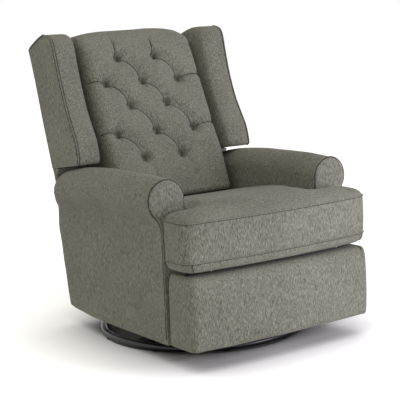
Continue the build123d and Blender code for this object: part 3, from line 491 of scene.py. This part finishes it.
def coated(name, dark, light, roughness, metallic, scale):
    """Satin coating or moulded plastic, with an uneven tone and a fine orange-peel surface."""
    material, nodes, links, bsdf = blank(name)
    place = nodes.new("ShaderNodeTexCoord").outputs["Object"]
    cloudy = grain(nodes, links, place, (scale, scale, scale), 3.0)
    links.new(ramp(nodes, links, cloudy, [(0.3, dark), (0.7, light)]), bsdf.inputs["Base Color"])
    shine = nodes.new("ShaderNodeMapRange")
    shine.inputs["To Min"].default_value = roughness - 0.08
    shine.inputs["To Max"].default_value = roughness + 0.12
    links.new(cloudy, shine.inputs["Value"])
    links.new(shine.outputs["Result"], bsdf.inputs["Roughness"])
    bsdf.inputs["Metallic"].default_value = metallic
    bump(nodes, links, grain(nodes, links, place, (500, 500, 500), 1.0), 0.12, 0.0004, bsdf)
    return material


def streaked(name, dark, light, scale, roughness):
    """Wood grain or a ribbed strap, drawn out along one axis."""
    material, nodes, links, bsdf = blank(name)
    place = nodes.new("ShaderNodeTexCoord").outputs["Object"]
    lines = grain(nodes, links, place, scale, 4.0)
    links.new(ramp(nodes, links, lines, [(0.3, dark), (0.7, light)]), bsdf.inputs["Base Color"])
    bsdf.inputs["Roughness"].default_value = roughness
    bump(nodes, links, lines, 0.3, 0.0005, bsdf)
    return material


cloth = tweed("heathered_tweed")
# a dark cloth for thin cords laid in seam grooves and tufting creases: painted shade where the grooves fall
# dark
seam_shade = streaked("painted_shade_seam_thread", (0.020, 0.020, 0.016), (0.045, 0.045, 0.036), (300, 300, 300), 0.95)
FINISHES = {
    "upholstery": cloth,
    "black_steel": coated("satin_black_steel", (0.006, 0.006, 0.007), (0.014, 0.014, 0.015), 0.27, 0.0, 14),
    "zinc_steel": coated("zinc_plated_steel", (0.42, 0.42, 0.44), (0.62, 0.62, 0.63), 0.36, 1.0, 60),
    "glide_plastic": coated("black_nylon", (0.020, 0.020, 0.021), (0.035, 0.035, 0.036), 0.5, 0.0, 30),
    "lever_plastic": coated("black_lever", (0.018, 0.018, 0.018), (0.034, 0.034, 0.034), 0.42, 0.0, 30),
    "frame_wood": streaked("raw_frame_wood", (0.42, 0.27, 0.14), (0.62, 0.45, 0.27), (12, 160, 160), 0.7),
    "webbing": streaked("elastic_webbing", (0.05, 0.05, 0.055), (0.12, 0.12, 0.13), (400, 40, 400), 0.85),
}


def finish_cad_nodes():
    """Every CAD node takes the finish of its slot."""
    for part in frame["record"]["subparts"]:
        node = frame["nodes"][part["node"]]
        node.data.materials.clear()
        node.data.materials.append(FINISHES[part["material_slot"]])


# =================================================================== arms
def arm_section(crest, neck, foot_x, inset):
    """The arm's closed section: inner face, roll, neck, outer face, underside."""
    centre = (ARM_INNER_X + ARM_ROLL, crest - ARM_ROLL)
    radius = ARM_ROLL - inset
    inner = ARM_INNER_X + inset
    foot_z = ARM_FOOT_Z + inset / 5
    tuck = arc(centre, radius, ROLL_END, ROLL_END, 1)[0]
    neck_end = (neck, crest - NECK_DROP)
    run = line((inner, foot_z + 5), (inner, centre[1]), 26)
    run += arc(centre, radius, 180, ROLL_END, 46)
    run += bend(tuck, (neck + 2, crest - TUCK_DROP), neck_end, 14)
    run += line(neck_end, (foot_x, foot_z + 5), 26)
    run += bend((foot_x, foot_z + 5), (foot_x, foot_z), (foot_x - 5, foot_z), 3)
    run += line((foot_x - 5, foot_z), (inner + 5, foot_z), 8)
    run += bend((inner + 5, foot_z), (inner, foot_z), (inner, foot_z + 5), 3)
    return run


def arm_swell(y, z, crest):
    """How far the outer panel fills out between its seams."""
    down = (z - ARM_FOOT_Z) / (crest - 150 - ARM_FOOT_Z)
    along = (y - ARM_FRONT_Y) / (ARM_REAR_Y - ARM_FRONT_Y)
    if not 0 < down < 1:
        return 0.0
    return ARM_SWELL * sin(pi * down) * sin(pi * min(max(along, 0), 1)) ** 0.6


def arm_ring(y, side):
    crest, neck, foot, inset = lookup(ARM_STATIONS, y)
    ring = []
    for x, z in arm_section(crest, neck, foot, inset):
        if x > ARM_OUTER_X:
            x += arm_swell(y, z, crest)
        uneven = ripple(x, y, z, 90, 1.6)
        if x > ARM_OUTER_X or z > crest - 60:
            x, z = x + uneven, z + uneven * 0.5
        ring.append(metres(side * x, y, z))
    return ring


def make_arm(name, side):
    ys = [ARM_FRONT_Y + ARM_STEP * i for i in range(ARM_STEPS)] + ARM_REAR_YS
    made = piece(f"arm_{name}_cover", [[arm_ring(y, side) for y in ys]], cloth)
    return dress(made, "carriage", [f"arm_pad_{name}"])


def facing_path(inset):
    crest, neck, foot, _ = ARM_STATIONS[0][1:]
    return arm_section(crest, neck, foot, inset)


def make_facing(name, side):
    """The padded front of the arm, with a welt round its edge and a dark line of painted shade beside it.
    """
    rings = [[metres(side * x, ARM_FRONT_Y - depth, z) for x, z in facing_path(inset)]
             for inset, depth in FACING_SHAPE]
    made = piece(f"arm_{name}_facing_cover", [rings], cloth)
    dress(made, "carriage", [f"arm_facing_{name}"])
    for tag, inset, depth, radius in FACING_CORDS:
        edge = facing_path(inset)[:FACING_EDGE_POINTS]
        path = [metres(side * x, ARM_FRONT_Y - depth, z) for x, z in edge]
        welts(f"arm_{name}_{tag}", [path], radius, cloth if tag == "welt" else seam_shade, "carriage")


# =================================================================== seat
def seat_outline(inset, pull):
    """The T-shaped plan: ears in front of the arms and a straight part between them."""
    ear, side = EAR_HALF - inset, SEAT_HALF - inset
    front, ear_back, rear = SEAT_FRONT_Y + inset * 0.7, EAR_BACK_Y - inset * 0.25, SEAT_REAR_Y - inset
    corner = SEAT_CORNER - inset * 0.25
    nip = corner * (1 - cos(pi / 4))
    half = [(0, front - SEAT_BOW + pull)]
    half += bend((0, front - SEAT_BOW + pull), ((ear - corner) * 0.5, front - SEAT_BOW + pull),
                 (ear - corner, front), 40)[1:]
    half += through((ear - corner, front), (ear - nip, front + nip), (ear, front + corner), 12)
    half += line((ear, front + corner), (ear, ear_back - 6), 12)
    half += bend((ear, ear_back - 6), (ear, ear_back), (ear - 6, ear_back), 3)
    half += line((ear - 6, ear_back), (side, ear_back), 12)
    half += line((side, ear_back), (side, rear - 12), 48)
    half += bend((side, rear - 12), (side, rear), (side - 12, rear), 4)
    half += line((side - 12, rear), (0, rear), 24)
    half.append((0, rear))
    return half + [(-x, y) for x, y in reversed(half[1:-1])]


def seat_ring(z, inset, pull):
    return [metres(x, y, z) for x, y in seat_outline(inset, pull)]


def seat_ceiling(y):
    """The seat's top drops away to the rear and under the roll of the back cushion."""
    return lookup(SEAT_TOP, y)[0]


def seat_held(x, y, z):
    """Where the seat's cover is sewn down or pressed against something."""
    sewn = min(abs(z - SEAM_LOW_Z), abs(z - SEAM_HIGH_Z)) < 5
    behind_ears = abs(x) > SEAT_HALF - 6 and y > -470 and z < SEAM_HIGH_Z
    return sewn or z < 335 or y > 60 or behind_ears


def seam_run(z, inset, end):
    """A seam round the seat's front and sides, from end to end at the rear."""
    outline = seat_outline(inset, 0)
    middle = len(outline) // 2
    return [metres(x, y, z) for x, y in outline[middle:] + outline[:middle] if y < end]


def corner_seam_shade(side):
    """The short upright seam under the lower welt, at a front corner, drawn as a dark cord of painted
    shade.
    """
    path = []
    for z, inset, pull in reversed(SEAT_STATIONS[2:5]):
        x, y = seat_outline(inset - 2, pull)[CORNER_POINT]
        path.append(metres(side * x, y, z))
    return path


def make_seat():
    rings = [seat_ring(*station) for station in SEAT_STATIONS]
    made = piece("seat_cushion_cover", [rings], cloth)
    swell(made, SEAT_VOXEL, SEAT_SWELL, seat_held)
    for vertex in made.data.vertices:
        x, y, z = vertex.co / MM
        z = min(z, seat_ceiling(y) - 2)
        if z > SEAM_HIGH_Z + 6 or y < -440:
            z += ripple(x, y, z, 110, 2.2) * ease((z - SEAM_HIGH_Z) / 20)
        vertex.co = metres(x, y, z)
    dress(made, "seat", ["seat_cushion"])
    for tag, inset, drop, radius in SEAT_CORDS:
        paths = [seam_run(SEAM_LOW_Z - drop, inset, LOW_SEAM_END_Y),
                 seam_run(SEAM_HIGH_Z - drop, inset, HIGH_SEAM_END_Y)]
        if tag == "seam_shades":
            paths += [corner_seam_shade(side) for side in SIDES.values()]
        # the welts are cloth; the other cords are dark lines of painted shade in the grooves
        welts(f"seat_{tag}", paths, radius, cloth if tag == "welts" else seam_shade, "seat")


def swell(made, voxel, cap, held):
    """Lets a shape fill out as stuffed cloth, held where it is sewn, no point further than cap."""
    bpy.context.view_layer.objects.active = made
    made.select_set(True)
    voxels = made.modifiers.new("voxels", "REMESH")
    voxels.mode = "VOXEL"
    voxels.voxel_size = voxel * MM
    voxels.use_smooth_shade = True
    bpy.ops.object.modifier_apply(modifier=voxels.name)
    start = [vertex.co.copy() for vertex in made.data.vertices]
    sewn = made.vertex_groups.new(name="sewn")
    sewn.add([i for i, co in enumerate(start) if held(*(co / MM))], 1.0, "REPLACE")
    stuffing = made.modifiers.new("stuffing", "CLOTH")
    settings = stuffing.settings
    settings.quality = 5
    settings.mass = 0.3
    settings.tension_stiffness = 15
    settings.compression_stiffness = 15
    settings.bending_stiffness = 2
    settings.use_pressure = True
    settings.uniform_pressure_force = 4
    settings.vertex_group_mass = sewn.name
    settings.effector_weights.gravity = 0
    stuffing.point_cache.frame_start = 1
    stuffing.point_cache.frame_end = SWELL_FRAMES
    scene = bpy.context.scene
    for step in range(1, SWELL_FRAMES + 1):
        scene.frame_set(step)
    shaped = made.evaluated_get(bpy.context.evaluated_depsgraph_get()).data
    ends = [vertex.co.copy() for vertex in shaped.vertices]
    made.modifiers.remove(stuffing)
    scene.frame_set(1)
    for vertex, before, after in zip(made.data.vertices, start, ends):
        move = after - before
        if move.length > cap * MM:
            move *= cap * MM / move.length
        vertex.co = before + move
    made.data.update()


# =================================================================== back
def rear_y(z):
    return REAR_TOP[0] + REAR_SLOPE * (z - REAR_TOP[1])


def front_y(z, crown):
    return BUTTON_Y + BACK_SLOPE * (z - BUTTON_Z) - crown * PLANE_LENGTH


def plane_point(x, z):
    """A point of the button plane as (x, distance up the plane)."""
    return (x, (z - BUTTON_Z) * PLANE_LENGTH)


class Fold:
    """A line of the tufting, from a to b, that sags sideways and is lowest at its ends."""

    def __init__(self, a, b, sag, depth, end_depth, near, far, sewn=None):
        """near and far are its widths to the two sides, sewn the shares where its dark line of painted
        shade starts and ends.
        """
        self.a, self.sag, self.depth, self.end_depth = a, sag, depth, end_depth
        self.near, self.far, self.sewn = near, far, sewn
        self.length = hypot(b[0] - a[0], b[1] - a[1])
        self.way = ((b[0] - a[0]) / self.length, (b[1] - a[1]) / self.length)

    def cut(self, x, v):
        """How deep the fold cuts at (x, v)."""
        dx, dv = x - self.a[0], v - self.a[1]
        along = (dx * self.way[0] + dv * self.way[1]) / self.length
        if not -FOLD_FADE < along < 1 + FOLD_FADE:
            return 0.0
        aside = -dx * self.way[1] + dv * self.way[0]
        aside -= self.sag * sin(pi * min(max(along, 0), 1))
        width = self.near if aside < 0 else self.far
        t = abs(aside) / width
        if t >= 1:
            return 0.0
        rise = sin(pi / 2 * t)
        deep = self.depth + (self.end_depth - self.depth) * (2 * along - 1) ** 4
        fade = 1.0 if 0 <= along <= 1 else 1 - max(-along, along - 1) / FOLD_FADE
        return deep * (1 - rise) * fade


rows = [[plane_point(x + DIMPLE_SHIFT, z) for x in xs] for z, xs in BUTTON_ROWS]
buttons = [place for row in rows for place in row]


def tuft_folds():
    """Sharp folds run down to the right between the buttons and soft ones down to the left."""
    folds = []
    for upper, lower in zip(rows, rows[1:]):
        for a in upper:
            for b in lower:
                if abs(a[0] - b[0]) > 100:
                    continue
                if b[0] > a[0]:
                    folds.append(Fold(a, b, *SHARP_FOLD))
                else:
                    folds.append(Fold(a, b, *SOFT_FOLD))
    for row in (rows[1], rows[3]):
        for outer in (row[0], row[-1]):
            side = outer[0] / abs(outer[0])
            end = (side * (BACK_HALF + 10), outer[1] + 8)
            folds.append(Fold(outer, end, 4 * side, *SIDE_FOLD))
    for x, v in rows[0]:
        folds.append(Fold((x, v), (x - 8, v + 66), *TOP_FOLD))
    for x, v in rows[-1]:
        folds.append(Fold((x, v), (x + 22, v - 92), *LOW_FOLD))
    return folds


FOLDS = tuft_folds()


def dimple(x, v):
    """The pull of the nearest button, with short gathers round it."""
    deepest = 0.0
    for i, (bx, bv) in enumerate(buttons):
        away = hypot(x - bx, v - bv)
        if away > BUTTON_REACH:
            continue
        deep = DIMPLE_DEPTH * exp(-max(away - DIMPLE_FALL, 0) / DIMPLE_FALL)
        if away > DIMPLE_FALL:
            turn = atan2(v - bv, x - bx)
            deep += GATHER_DEPTH * exp(-((away - 20) / 13) ** 2) * cos(GATHERS * turn + 1.7 * i)
        deepest = max(deepest, deep)
    return deepest


def tuft_cut(x, v):
    deepest = dimple(x, v)
    for fold in FOLDS:
        if abs(x - fold.a[0]) < FOLD_REACH and abs(v - fold.a[1]) < FOLD_REACH:
            cut = fold.cut(x, v)
            high, low = max(cut, deepest), min(cut, deepest)
            deepest = high + 0.18 * low * low / (high + 1)
    return min(deepest, CROWN)


def pillow(x, v):
    """The pillows between the folds stand up a little."""
    nearest = min(hypot(x - bx, v - bv) for bx, bv in buttons)
    return 4.5 * ease((nearest - 10) / 55)


def back_fill(x):
    """How full the cushion is towards its sides, from 1 down to 0."""
    past = max(abs(x) - BACK_SHOULDER, 0) / (BACK_HALF - BACK_SHOULDER)
    return (1 - past ** 2.4) ** 0.5 if past < 1 else 0.0


# points along the section: underside, its rise to the nose, nose, face and rolled top
UNDER_POINTS, RISE_POINTS, NOSE_POINTS, FACE_POINTS, ROLL_POINTS = 6, 16, 9, 174, 61
FRONT_POINTS = UNDER_POINTS + RISE_POINTS + NOSE_POINTS + FACE_POINTS + ROLL_POINTS


def back_section(x):
    """The cushion's side section, as points (y, z): underside, front, rolled top, rear."""
    crown = CROWN * back_fill(x)
    top = lookup(BACK_TOPS, x)[0]
    low = (front_y(NOSE_Z, crown), NOSE_Z)
    nose = (low[0] + 15, UNDER[1] + (UNDER[0] - low[0] - 15) * 0.27)
    brow = (front_y(top - BROW_DROP, crown), top - BROW_DROP)
    crest = (brow[0] + CREST_BACK - (CROWN - crown) * 0.9, top)
    nape_z = min(NAPE_Z, top - NAPE_DROP)
    nape = (rear_y(nape_z) - 2, nape_z)
    lean = (brow[0] + BACK_SLOPE * 52, brow[1] + 52)
    over = (crest[0] - 34, crest[1] + 1)
    run = line(BACK_REAR, UNDER, UNDER_POINTS)
    run += line(UNDER, nose, RISE_POINTS)
    run += bend(nose, (low[0] - BACK_SLOPE * 8, low[1] - 17), low, NOSE_POINTS)
    run += line(low, brow, FACE_POINTS)
    rolled = bend(brow, lean, over, 12) + bend(over, crest, (nape[0] - 4, nape[1] + 16), 12) + [nape]
    run += even(rolled, ROLL_POINTS + 1)[:-1]
    high_rear = (rear_y(nape_z) - PANEL_T - 2, nape_z - 6)
    low_rear = (rear_y(LOW_REAR_Z) - PANEL_T - 2, LOW_REAR_Z)
    return run + line(nape, high_rear, 3) + line(high_rear, low_rear, 12) + line(low_rear, BACK_REAR, 3)


def back_ring(x):
    ring = []
    for i, (y, z) in enumerate(back_section(x)):
        if i < FRONT_POINTS:
            aside, up = y - BUTTON_Y, z - BUTTON_Z
            proud = (-aside + BACK_SLOPE * up) / PLANE_LENGTH
            v = (BACK_SLOPE * aside + up) / PLANE_LENGTH
            move = (pillow(x, v) - tuft_cut(x, v)) * ease(proud / 30)
            move += ripple(x, y, z, 70, 1.5) * ease(proud / 20)
            if proud > -4 and z < 1020:
                share = ease((y - 90) / 60) if z < 460 else 1.0
                move -= lookup(SIDE_SET_BACK, z)[0] * (1 - back_fill(x)) * share
            y -= move / PLANE_LENGTH
            z += move * BACK_SLOPE / PLANE_LENGTH
        ring.append(metres(x, y, z))
    return ring


def on_back(x, v, lift):
    """The point of the tufted front at plane coordinates (x, v), raised by lift."""
    crown = CROWN * back_fill(x)
    base = crown + (pillow(x, v) - tuft_cut(x, v)) * ease(crown / 30)
    proud = max(base, 0) + lift
    return metres(x, BUTTON_Y + (v * BACK_SLOPE - proud) / PLANE_LENGTH,
                  BUTTON_Z + (v + proud * BACK_SLOPE) / PLANE_LENGTH)


def crease_paths():
    """Dark lines of painted shade at the bottoms of the sharp folds."""
    paths = []
    for fold in FOLDS:
        # fold.sewn holds the span of a dark cord of painted shade
        if fold.sewn:
            first, last = fold.sewn
            path = []
            for i in range(CREASE_STEPS + 1):
                along = first + (last - first) * i / CREASE_STEPS
                aside = fold.sag * sin(pi * along)
                x = fold.a[0] + fold.way[0] * along * fold.length - fold.way[1] * aside
                v = fold.a[1] + fold.way[1] * along * fold.length + fold.way[0] * aside
                path.append(on_back(x, v, CREASE_LIFT))
            paths.append(path)
    return paths


def button_dome(x, v):
    """A cloth-covered button, sunk in its dimple."""
    centre = on_back(x, v, 0)
    across = Vector((1, 0, 0))
    out = Vector((0, -1, BACK_SLOPE)).normalized()
    up = out.cross(across)
    rings = []
    turns = [2 * pi * k / BUTTON_SIDES for k in range(BUTTON_SIDES)]
    for radius, lift in BUTTON_PROFILE:
        rings.append([centre + (across * cos(turn) * radius + up * sin(turn) * radius + out * lift) * MM
                      for turn in turns])
    return rings


def make_buttons():
    made = piece("button_covers", [button_dome(x, v) for x, v in buttons], cloth)
    dress(made, "back", ["back_buttons"])


def make_back():
    xs = [-BACK_HALF + 2 * BACK_HALF * i / BACK_STEPS for i in range(BACK_STEPS + 1)]
    made = piece("back_cushion_cover", [[back_ring(x) for x in xs]], cloth, sharp=80)
    dress(made, "back", ["back_cushion"])
    # dark cords of painted shade along the bottoms of the sharp folds
    welts("back_crease_painted_shade", crease_paths(), 1.15, seam_shade, "back")


# ================================================================== wings
def mid_height(t):
    """1 half way up the wing and 0 at its ends."""
    return sin(pi * t / (WING_LEVELS - 1))


def wing_ring(t, side):
    """A level of the wing: outer face, welted corner, one round sweep in to the cushion, rear."""
    front, rear = wing_front[t], wing_rear[t]
    depth = rear[0] - front[0]
    toe = WING_TOE * mid_height(t)
    bow = WING_BOW * ease((t - WING_LEVELS + 9) / 8)
    tuck_in = 3.5 * ease((t - WING_LEVELS + 3) / 2) + 2.5 * ease((2 - t) / 2)

    def at(x, back):
        """The point at x, `back` behind the front edge."""
        back = min(max(back, -4), depth)
        share = max(back, 0) / depth
        lift = bow * sin(pi * share) ** 0.8
        x = min(max(x, WING_INNER_X + tuck_in * 0.5), WING_OUTER_X + 3 - tuck_in)
        x -= toe * (1 - share) * (x - WING_INNER_X) / (WING_OUTER_X - WING_INNER_X)
        return metres(side * x, front[0] + back, front[1] + (rear[1] - front[1]) * share + lift)

    bulge = WING_BULGE * mid_height(t)
    ring = [at(WING_OUTER_X + bulge * sin(pi * i / WING_FACE_STEPS), depth * (1 - i / WING_FACE_STEPS))
            for i in range(WING_FACE_STEPS)]
    sweep = spline([(x, back * min(1, depth / 150)) for x, back in WING_SWEEP], 6)
    ring += [at(x, back) for x, back in sweep[:-1]]
    slant = sweep[-1][1]
    ring += [at(WING_INNER_X, slant + (depth - slant) * i / WING_INNER_STEPS)
             for i in range(WING_INNER_STEPS)]
    ring += [at(WING_INNER_X + (WING_OUTER_X - WING_INNER_X) * i / WING_REAR_STEPS, depth)
             for i in range(WING_REAR_STEPS)]
    return ring


wing_front = [(y - WING_FORWARD * mid_height(t), z)
              for t, (y, z) in enumerate(even(spline(WING_FRONT, 8), WING_LEVELS))]
wing_rear = even(spline(WING_REAR, 8), WING_LEVELS)


def post_ring(x, inset):
    """The strip that carries the wing's rear edge down behind the arm, seen from the side."""
    ring = []
    for a, b in zip(POST, POST[1:] + POST[:1]):
        for y, z in line(a, b, 4):
            away = hypot(y - POST_MIDDLE[0], z - POST_MIDDLE[1])
            share = inset / away
            ring.append(metres(x, y + (POST_MIDDLE[0] - y) * share, z + (POST_MIDDLE[1] - z) * share))
    return ring


def make_wing(name, side):
    made = piece(f"wing_{name}_cover", [[wing_ring(t, side) for t in range(WING_LEVELS)]], cloth, sharp=40)
    dress(made, "back", [f"wing_{name}"])
    edge = [metres(side * (WING_OUTER_X - 0.5 - WING_TOE * mid_height(t)), y - 0.5, z)
            for t, (y, z) in enumerate(wing_front)]
    top = wing_ring(WING_LEVELS - 1, side)
    crown = [top[i] + metres(0, 0, 1) for i in range(WING_FACE_STEPS, 1, -1)]
    rear = [metres(side * (WING_OUTER_X - 1), y - 1, z) for y, z in reversed(wing_rear)]
    welts(f"wing_{name}_welt", [edge + crown + rear], WING_WELT_RADIUS, cloth, "back")
    # dark cords of painted shade beside the welt, below it at the crown and within the front edge
    beside, below, within = [
        [point + metres(side * x, y, z) for point in run]
        for run, (x, y, z) in ((edge, BESIDE_WELT), (crown, BELOW_WELT), (edge, WITHIN_WELT))]
    welts(f"wing_{name}_seam", [beside, below], WING_SEAM_SHADE_RADIUS, seam_shade, "back")
    welts(f"wing_{name}_inner_seam", [within], WING_INNER_SEAM_SHADE_RADIUS, seam_shade, "back")
    rings = [post_ring(side * x, inset) for x, inset in POST_STATIONS]
    post = piece(f"wing_{name}_post", [rings], cloth)
    dress(post, "back", [f"wing_post_{name}"])


# =========================================================== outside back
PANEL_REAR = [(310, 358), (400, 363.4)] + [(z, rear_y(z)) for z in (590, 700, 1040)]   # z, y
# z, how far the sides stand in
PANEL_SIDES = [(310, 2), (313, 0.5)] + [(330 + 17 * i, 0) for i in range(40)]
PANEL_SIDES += [(1003, 1), (1015, 5), (1025, 11), (1033, 20), (1038, 30), (1040, 38)]
PANEL_STEPS = 24
PANEL_WELT_RADIUS = 2.4
# share of the thickness, inset: the rear base panel's rounded edges
REAR_BASE_EDGE = [(0, 6), (0.1, 1.5), (0.3, 0), (0.7, 0), (0.9, 1.5), (1, 6)]


def panel_ring(z, half, thick):
    """The outside back's section at a height, thick enough to look upholstered."""
    y = lookup(PANEL_REAR, z)[0]
    run = []
    for i in range(PANEL_STEPS + 1):
        share = i / PANEL_STEPS
        run.append((-half + 2 * half * share, y + 2.5 * sin(pi * share) ** 0.7))
    run.append((half, y - thick))
    for i in range(1, 12):
        run.append((half - 2 * half * i / 12, y - thick))
    run.append((-half, y - thick))
    return [metres(x, yy, z) for x, yy in run]


def make_outside_back():
    levels = [(z, PANEL_HALF - inset) for z, inset in PANEL_SIDES]
    rings = [panel_ring(z, half, PANEL_T - 1) for z, half in levels]
    made = piece("outside_back_cover", [rings], cloth)
    dress(made, "back", ["outside_back_panel"])
    for name, side in SIDES.items():
        end = PANEL_STEPS if side > 0 else 0
        path = [panel_ring(z, half + 0.5, 0)[end] for z, half in levels]
        welts(f"outside_back_welt_{name}", [path], PANEL_WELT_RADIUS, cloth, "back")


def make_rear_base_panel():
    low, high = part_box("rear_base_panel")
    rings = []
    for share, inset in REAR_BASE_EDGE:
        y = low.y + (high.y - low.y) * share
        left, right = low.x + inset * MM, high.x - inset * MM
        bottom, top = low.z + inset * MM, high.z - inset * MM
        corners = [(left, bottom), (right, bottom), (right, top), (left, top)]
        ring = []
        for a, b in zip(corners, corners[1:] + corners[:1]):
            ring += [Vector((x, y, z)) for x, z in line(a, b, 10)]
        rings.append(ring)
    made = piece("rear_base_cover", [rings], cloth)
    dress(made, "carriage", ["rear_base_panel"])


# =============================================================== footrest
def foot_path():
    """(Outer point, inner point, outward direction) round the plan, from right rear to left rear."""
    front, corner = FOOT_FRONT_Y, FOOT_CORNER
    right = []
    for i in range(FOOT_SIDE_STEPS):
        y = FOOT_BACK_Y - i * (FOOT_BACK_Y - front - corner) / FOOT_SIDE_STEPS
        right.append(((FOOT_HALF, y), (FOOT_SIDE, max(y, FOOT_REAR_Y)), (1, 0)))
    for i in range(FOOT_CORNER_STEPS):
        turn = radians(90 * i / FOOT_CORNER_STEPS)
        outer = (FOOT_HALF - corner + corner * cos(turn), front + corner - corner * sin(turn))
        right.append((outer, (FOOT_SIDE, FOOT_REAR_Y), (cos(turn), -sin(turn))))
    reach = FOOT_HALF - corner
    for i in range(FOOT_FRONT_STEPS):
        x = reach * (1 - i / FOOT_FRONT_STEPS)
        outer = (x, front - FOOT_BOW * (1 - (x / reach) ** 2))
        right.append((outer, (min(x, FOOT_SIDE), FOOT_REAR_Y), (0, -1)))
    middle = [((0, front - FOOT_BOW), (0, FOOT_REAR_Y), (0, -1))]
    left = [((-a[0], a[1]), (-b[0], b[1]), (-n[0], n[1])) for a, b, n in reversed(right)]
    return right + middle + left


def foot_ring(outer, inner, out):
    ring = []
    for z, back in FOOT_FACE:
        uneven = ripple(outer[0], outer[1], z, 120, 2.0)
        reach = 2.2 - back * (0.55 if out[0] else 1) + uneven - 2
        ring.append(metres(outer[0] + out[0] * reach, outer[1] + out[1] * reach, z))
    for z in FOOT_INNER_ZS:
        ring.append(metres(inner[0], inner[1], z))
    return ring


def make_footrest():
    rings = [foot_ring(*place) for place in foot_path()]
    made = piece("footrest_cover", [rings], cloth)
    dress(made, "footrest", ["footrest_pad", "footrest_side_left", "footrest_side_right"])


# ================================================================== stage
def seen_directly(nodes, links, *kinds):
    """1 on rays of the kinds named, which make the picture, and 0 on those that carry light."""
    path = nodes.new("ShaderNodeLightPath")
    seen = path.outputs[kinds[0]]
    for kind in kinds[1:]:
        seen = calculate(nodes, links, "MAXIMUM", seen, path.outputs[kind])
    return seen


def make_floor():
    """A pale floor that the camera sees as white, apart from the chair's shadow, which ambient occlusion
    darkens further as painted shade.
    """
    mesh = bpy.data.meshes.new("floor")
    signs = ((-1, -1), (1, -1), (1, 1), (-1, 1))
    corners = [(x * FLOOR_REACH, y * FLOOR_REACH, 0) for x, y in signs]
    mesh.from_pydata(corners, [], [(0, 1, 2, 3)])
    material, nodes, links, bsdf = blank("pale_floor")
    nodes.remove(bsdf)
    seen = seen_directly(nodes, links, "Is Camera Ray", "Is Glossy Ray")
    # ambient occlusion darkens the floor's colour near the chair for the camera: painted shade
    painted_floor_shade = nodes.new("ShaderNodeAmbientOcclusion")
    painted_floor_shade.samples = FLOOR_SHADE_SAMPLES
    painted_floor_shade.inputs["Distance"].default_value = FLOOR_SHADE_REACH
    painted_floor_shade.inputs["Color"].default_value = (1, 1, 1, 1)
    shown = nodes.new("ShaderNodeBsdfDiffuse")
    bright = nodes.new("ShaderNodeVectorMath")
    bright.operation = "SCALE"
    bright.inputs["Scale"].default_value = FLOOR_GAIN
    links.new(painted_floor_shade.outputs["Color"], bright.inputs[0])
    links.new(bright.outputs[0], shown.inputs["Color"])
    plain = nodes.new("ShaderNodeBsdfDiffuse")
    plain.inputs["Color"].default_value = (FLOOR_BOUNCE, FLOOR_BOUNCE, FLOOR_BOUNCE, 1)
    choose = nodes.new("ShaderNodeMixShader")
    links.new(seen, choose.inputs[0])
    links.new(plain.outputs[0], choose.inputs[1])
    links.new(shown.outputs[0], choose.inputs[2])
    links.new(choose.outputs[0], nodes["Material Output"].inputs["Surface"])
    mesh.materials.append(material)
    floor = bpy.data.objects.new("floor", mesh)
    bpy.context.scene.collection.objects.link(floor)


def make_world():
    world = bpy.data.worlds.new("studio")
    world.use_nodes = True
    nodes, links = world.node_tree.nodes, world.node_tree.links
    soft = nodes["Background"]
    soft.inputs["Color"].default_value = (*AMBIENT_COLOUR, 1)
    soft.inputs["Strength"].default_value = AMBIENT
    white = nodes.new("ShaderNodeBackground")
    white.inputs["Color"].default_value = (1, 1, 1, 1)
    white.inputs["Strength"].default_value = 1.0
    seen = seen_directly(nodes, links, "Is Camera Ray", "Is Glossy Ray", "Is Transmission Ray")
    choose = nodes.new("ShaderNodeMixShader")
    links.new(seen, choose.inputs[0])
    links.new(soft.outputs[0], choose.inputs[1])
    links.new(white.outputs[0], choose.inputs[2])
    links.new(choose.outputs[0], nodes["World Output"].inputs["Surface"])
    bpy.context.scene.world = world


def make_lamp(name, kind, power, travel):
    """A lamp whose light travels along a direction."""
    lamp = bpy.data.lights.new(name, kind)
    lamp.energy = power
    made = bpy.data.objects.new(name, lamp)
    made.rotation_mode = "QUATERNION"
    made.rotation_quaternion = travel.to_track_quat("-Z", "Y")
    bpy.context.scene.collection.objects.link(made)
    return made


def make_key():
    """A soft box low in front of the chair, to the right."""
    made = make_lamp("key", "AREA", KEY_POWER, Vector(KEY_TO) - Vector(KEY_AT))
    made.location = KEY_AT
    made.data.size = KEY_SIZE
    made.data.color = KEY_COLOUR


def make_fill():
    """A wide, weak light from above and to the left, for the tops and the left faces."""
    made = make_lamp("fill", "SUN", FILL_POWER, Vector(FILL_TRAVEL))
    made.data.angle = FILL_SPREAD


def make_camera():
    level = CAMERA_AHEAD.cross(Vector((0, 0, 1))).normalized()
    up = level.cross(CAMERA_AHEAD)
    right = level * cos(CAMERA_ROLL) + up * sin(CAMERA_ROLL)
    top = up * cos(CAMERA_ROLL) - level * sin(CAMERA_ROLL)
    turned = Matrix((right, top, -CAMERA_AHEAD)).transposed().to_4x4()
    camera = bpy.data.cameras.new("camera")
    camera.lens = CAMERA_LENS
    camera.sensor_width = CAMERA_SENSOR
    made = bpy.data.objects.new("camera", camera)
    made.matrix_world = Matrix.Translation(CAMERA_AT) @ turned
    bpy.context.scene.collection.objects.link(made)
    bpy.context.scene.camera = made


finish_cad_nodes()
for name, side in SIDES.items():
    make_arm(name, side)
    make_facing(name, side)
    make_wing(name, side)
make_seat()
make_back()
make_buttons()
make_outside_back()
make_rear_base_panel()
make_footrest()
make_floor()
make_world()
make_key()
make_fill()
make_camera()
bpy.context.scene.view_settings.view_transform = "Standard"
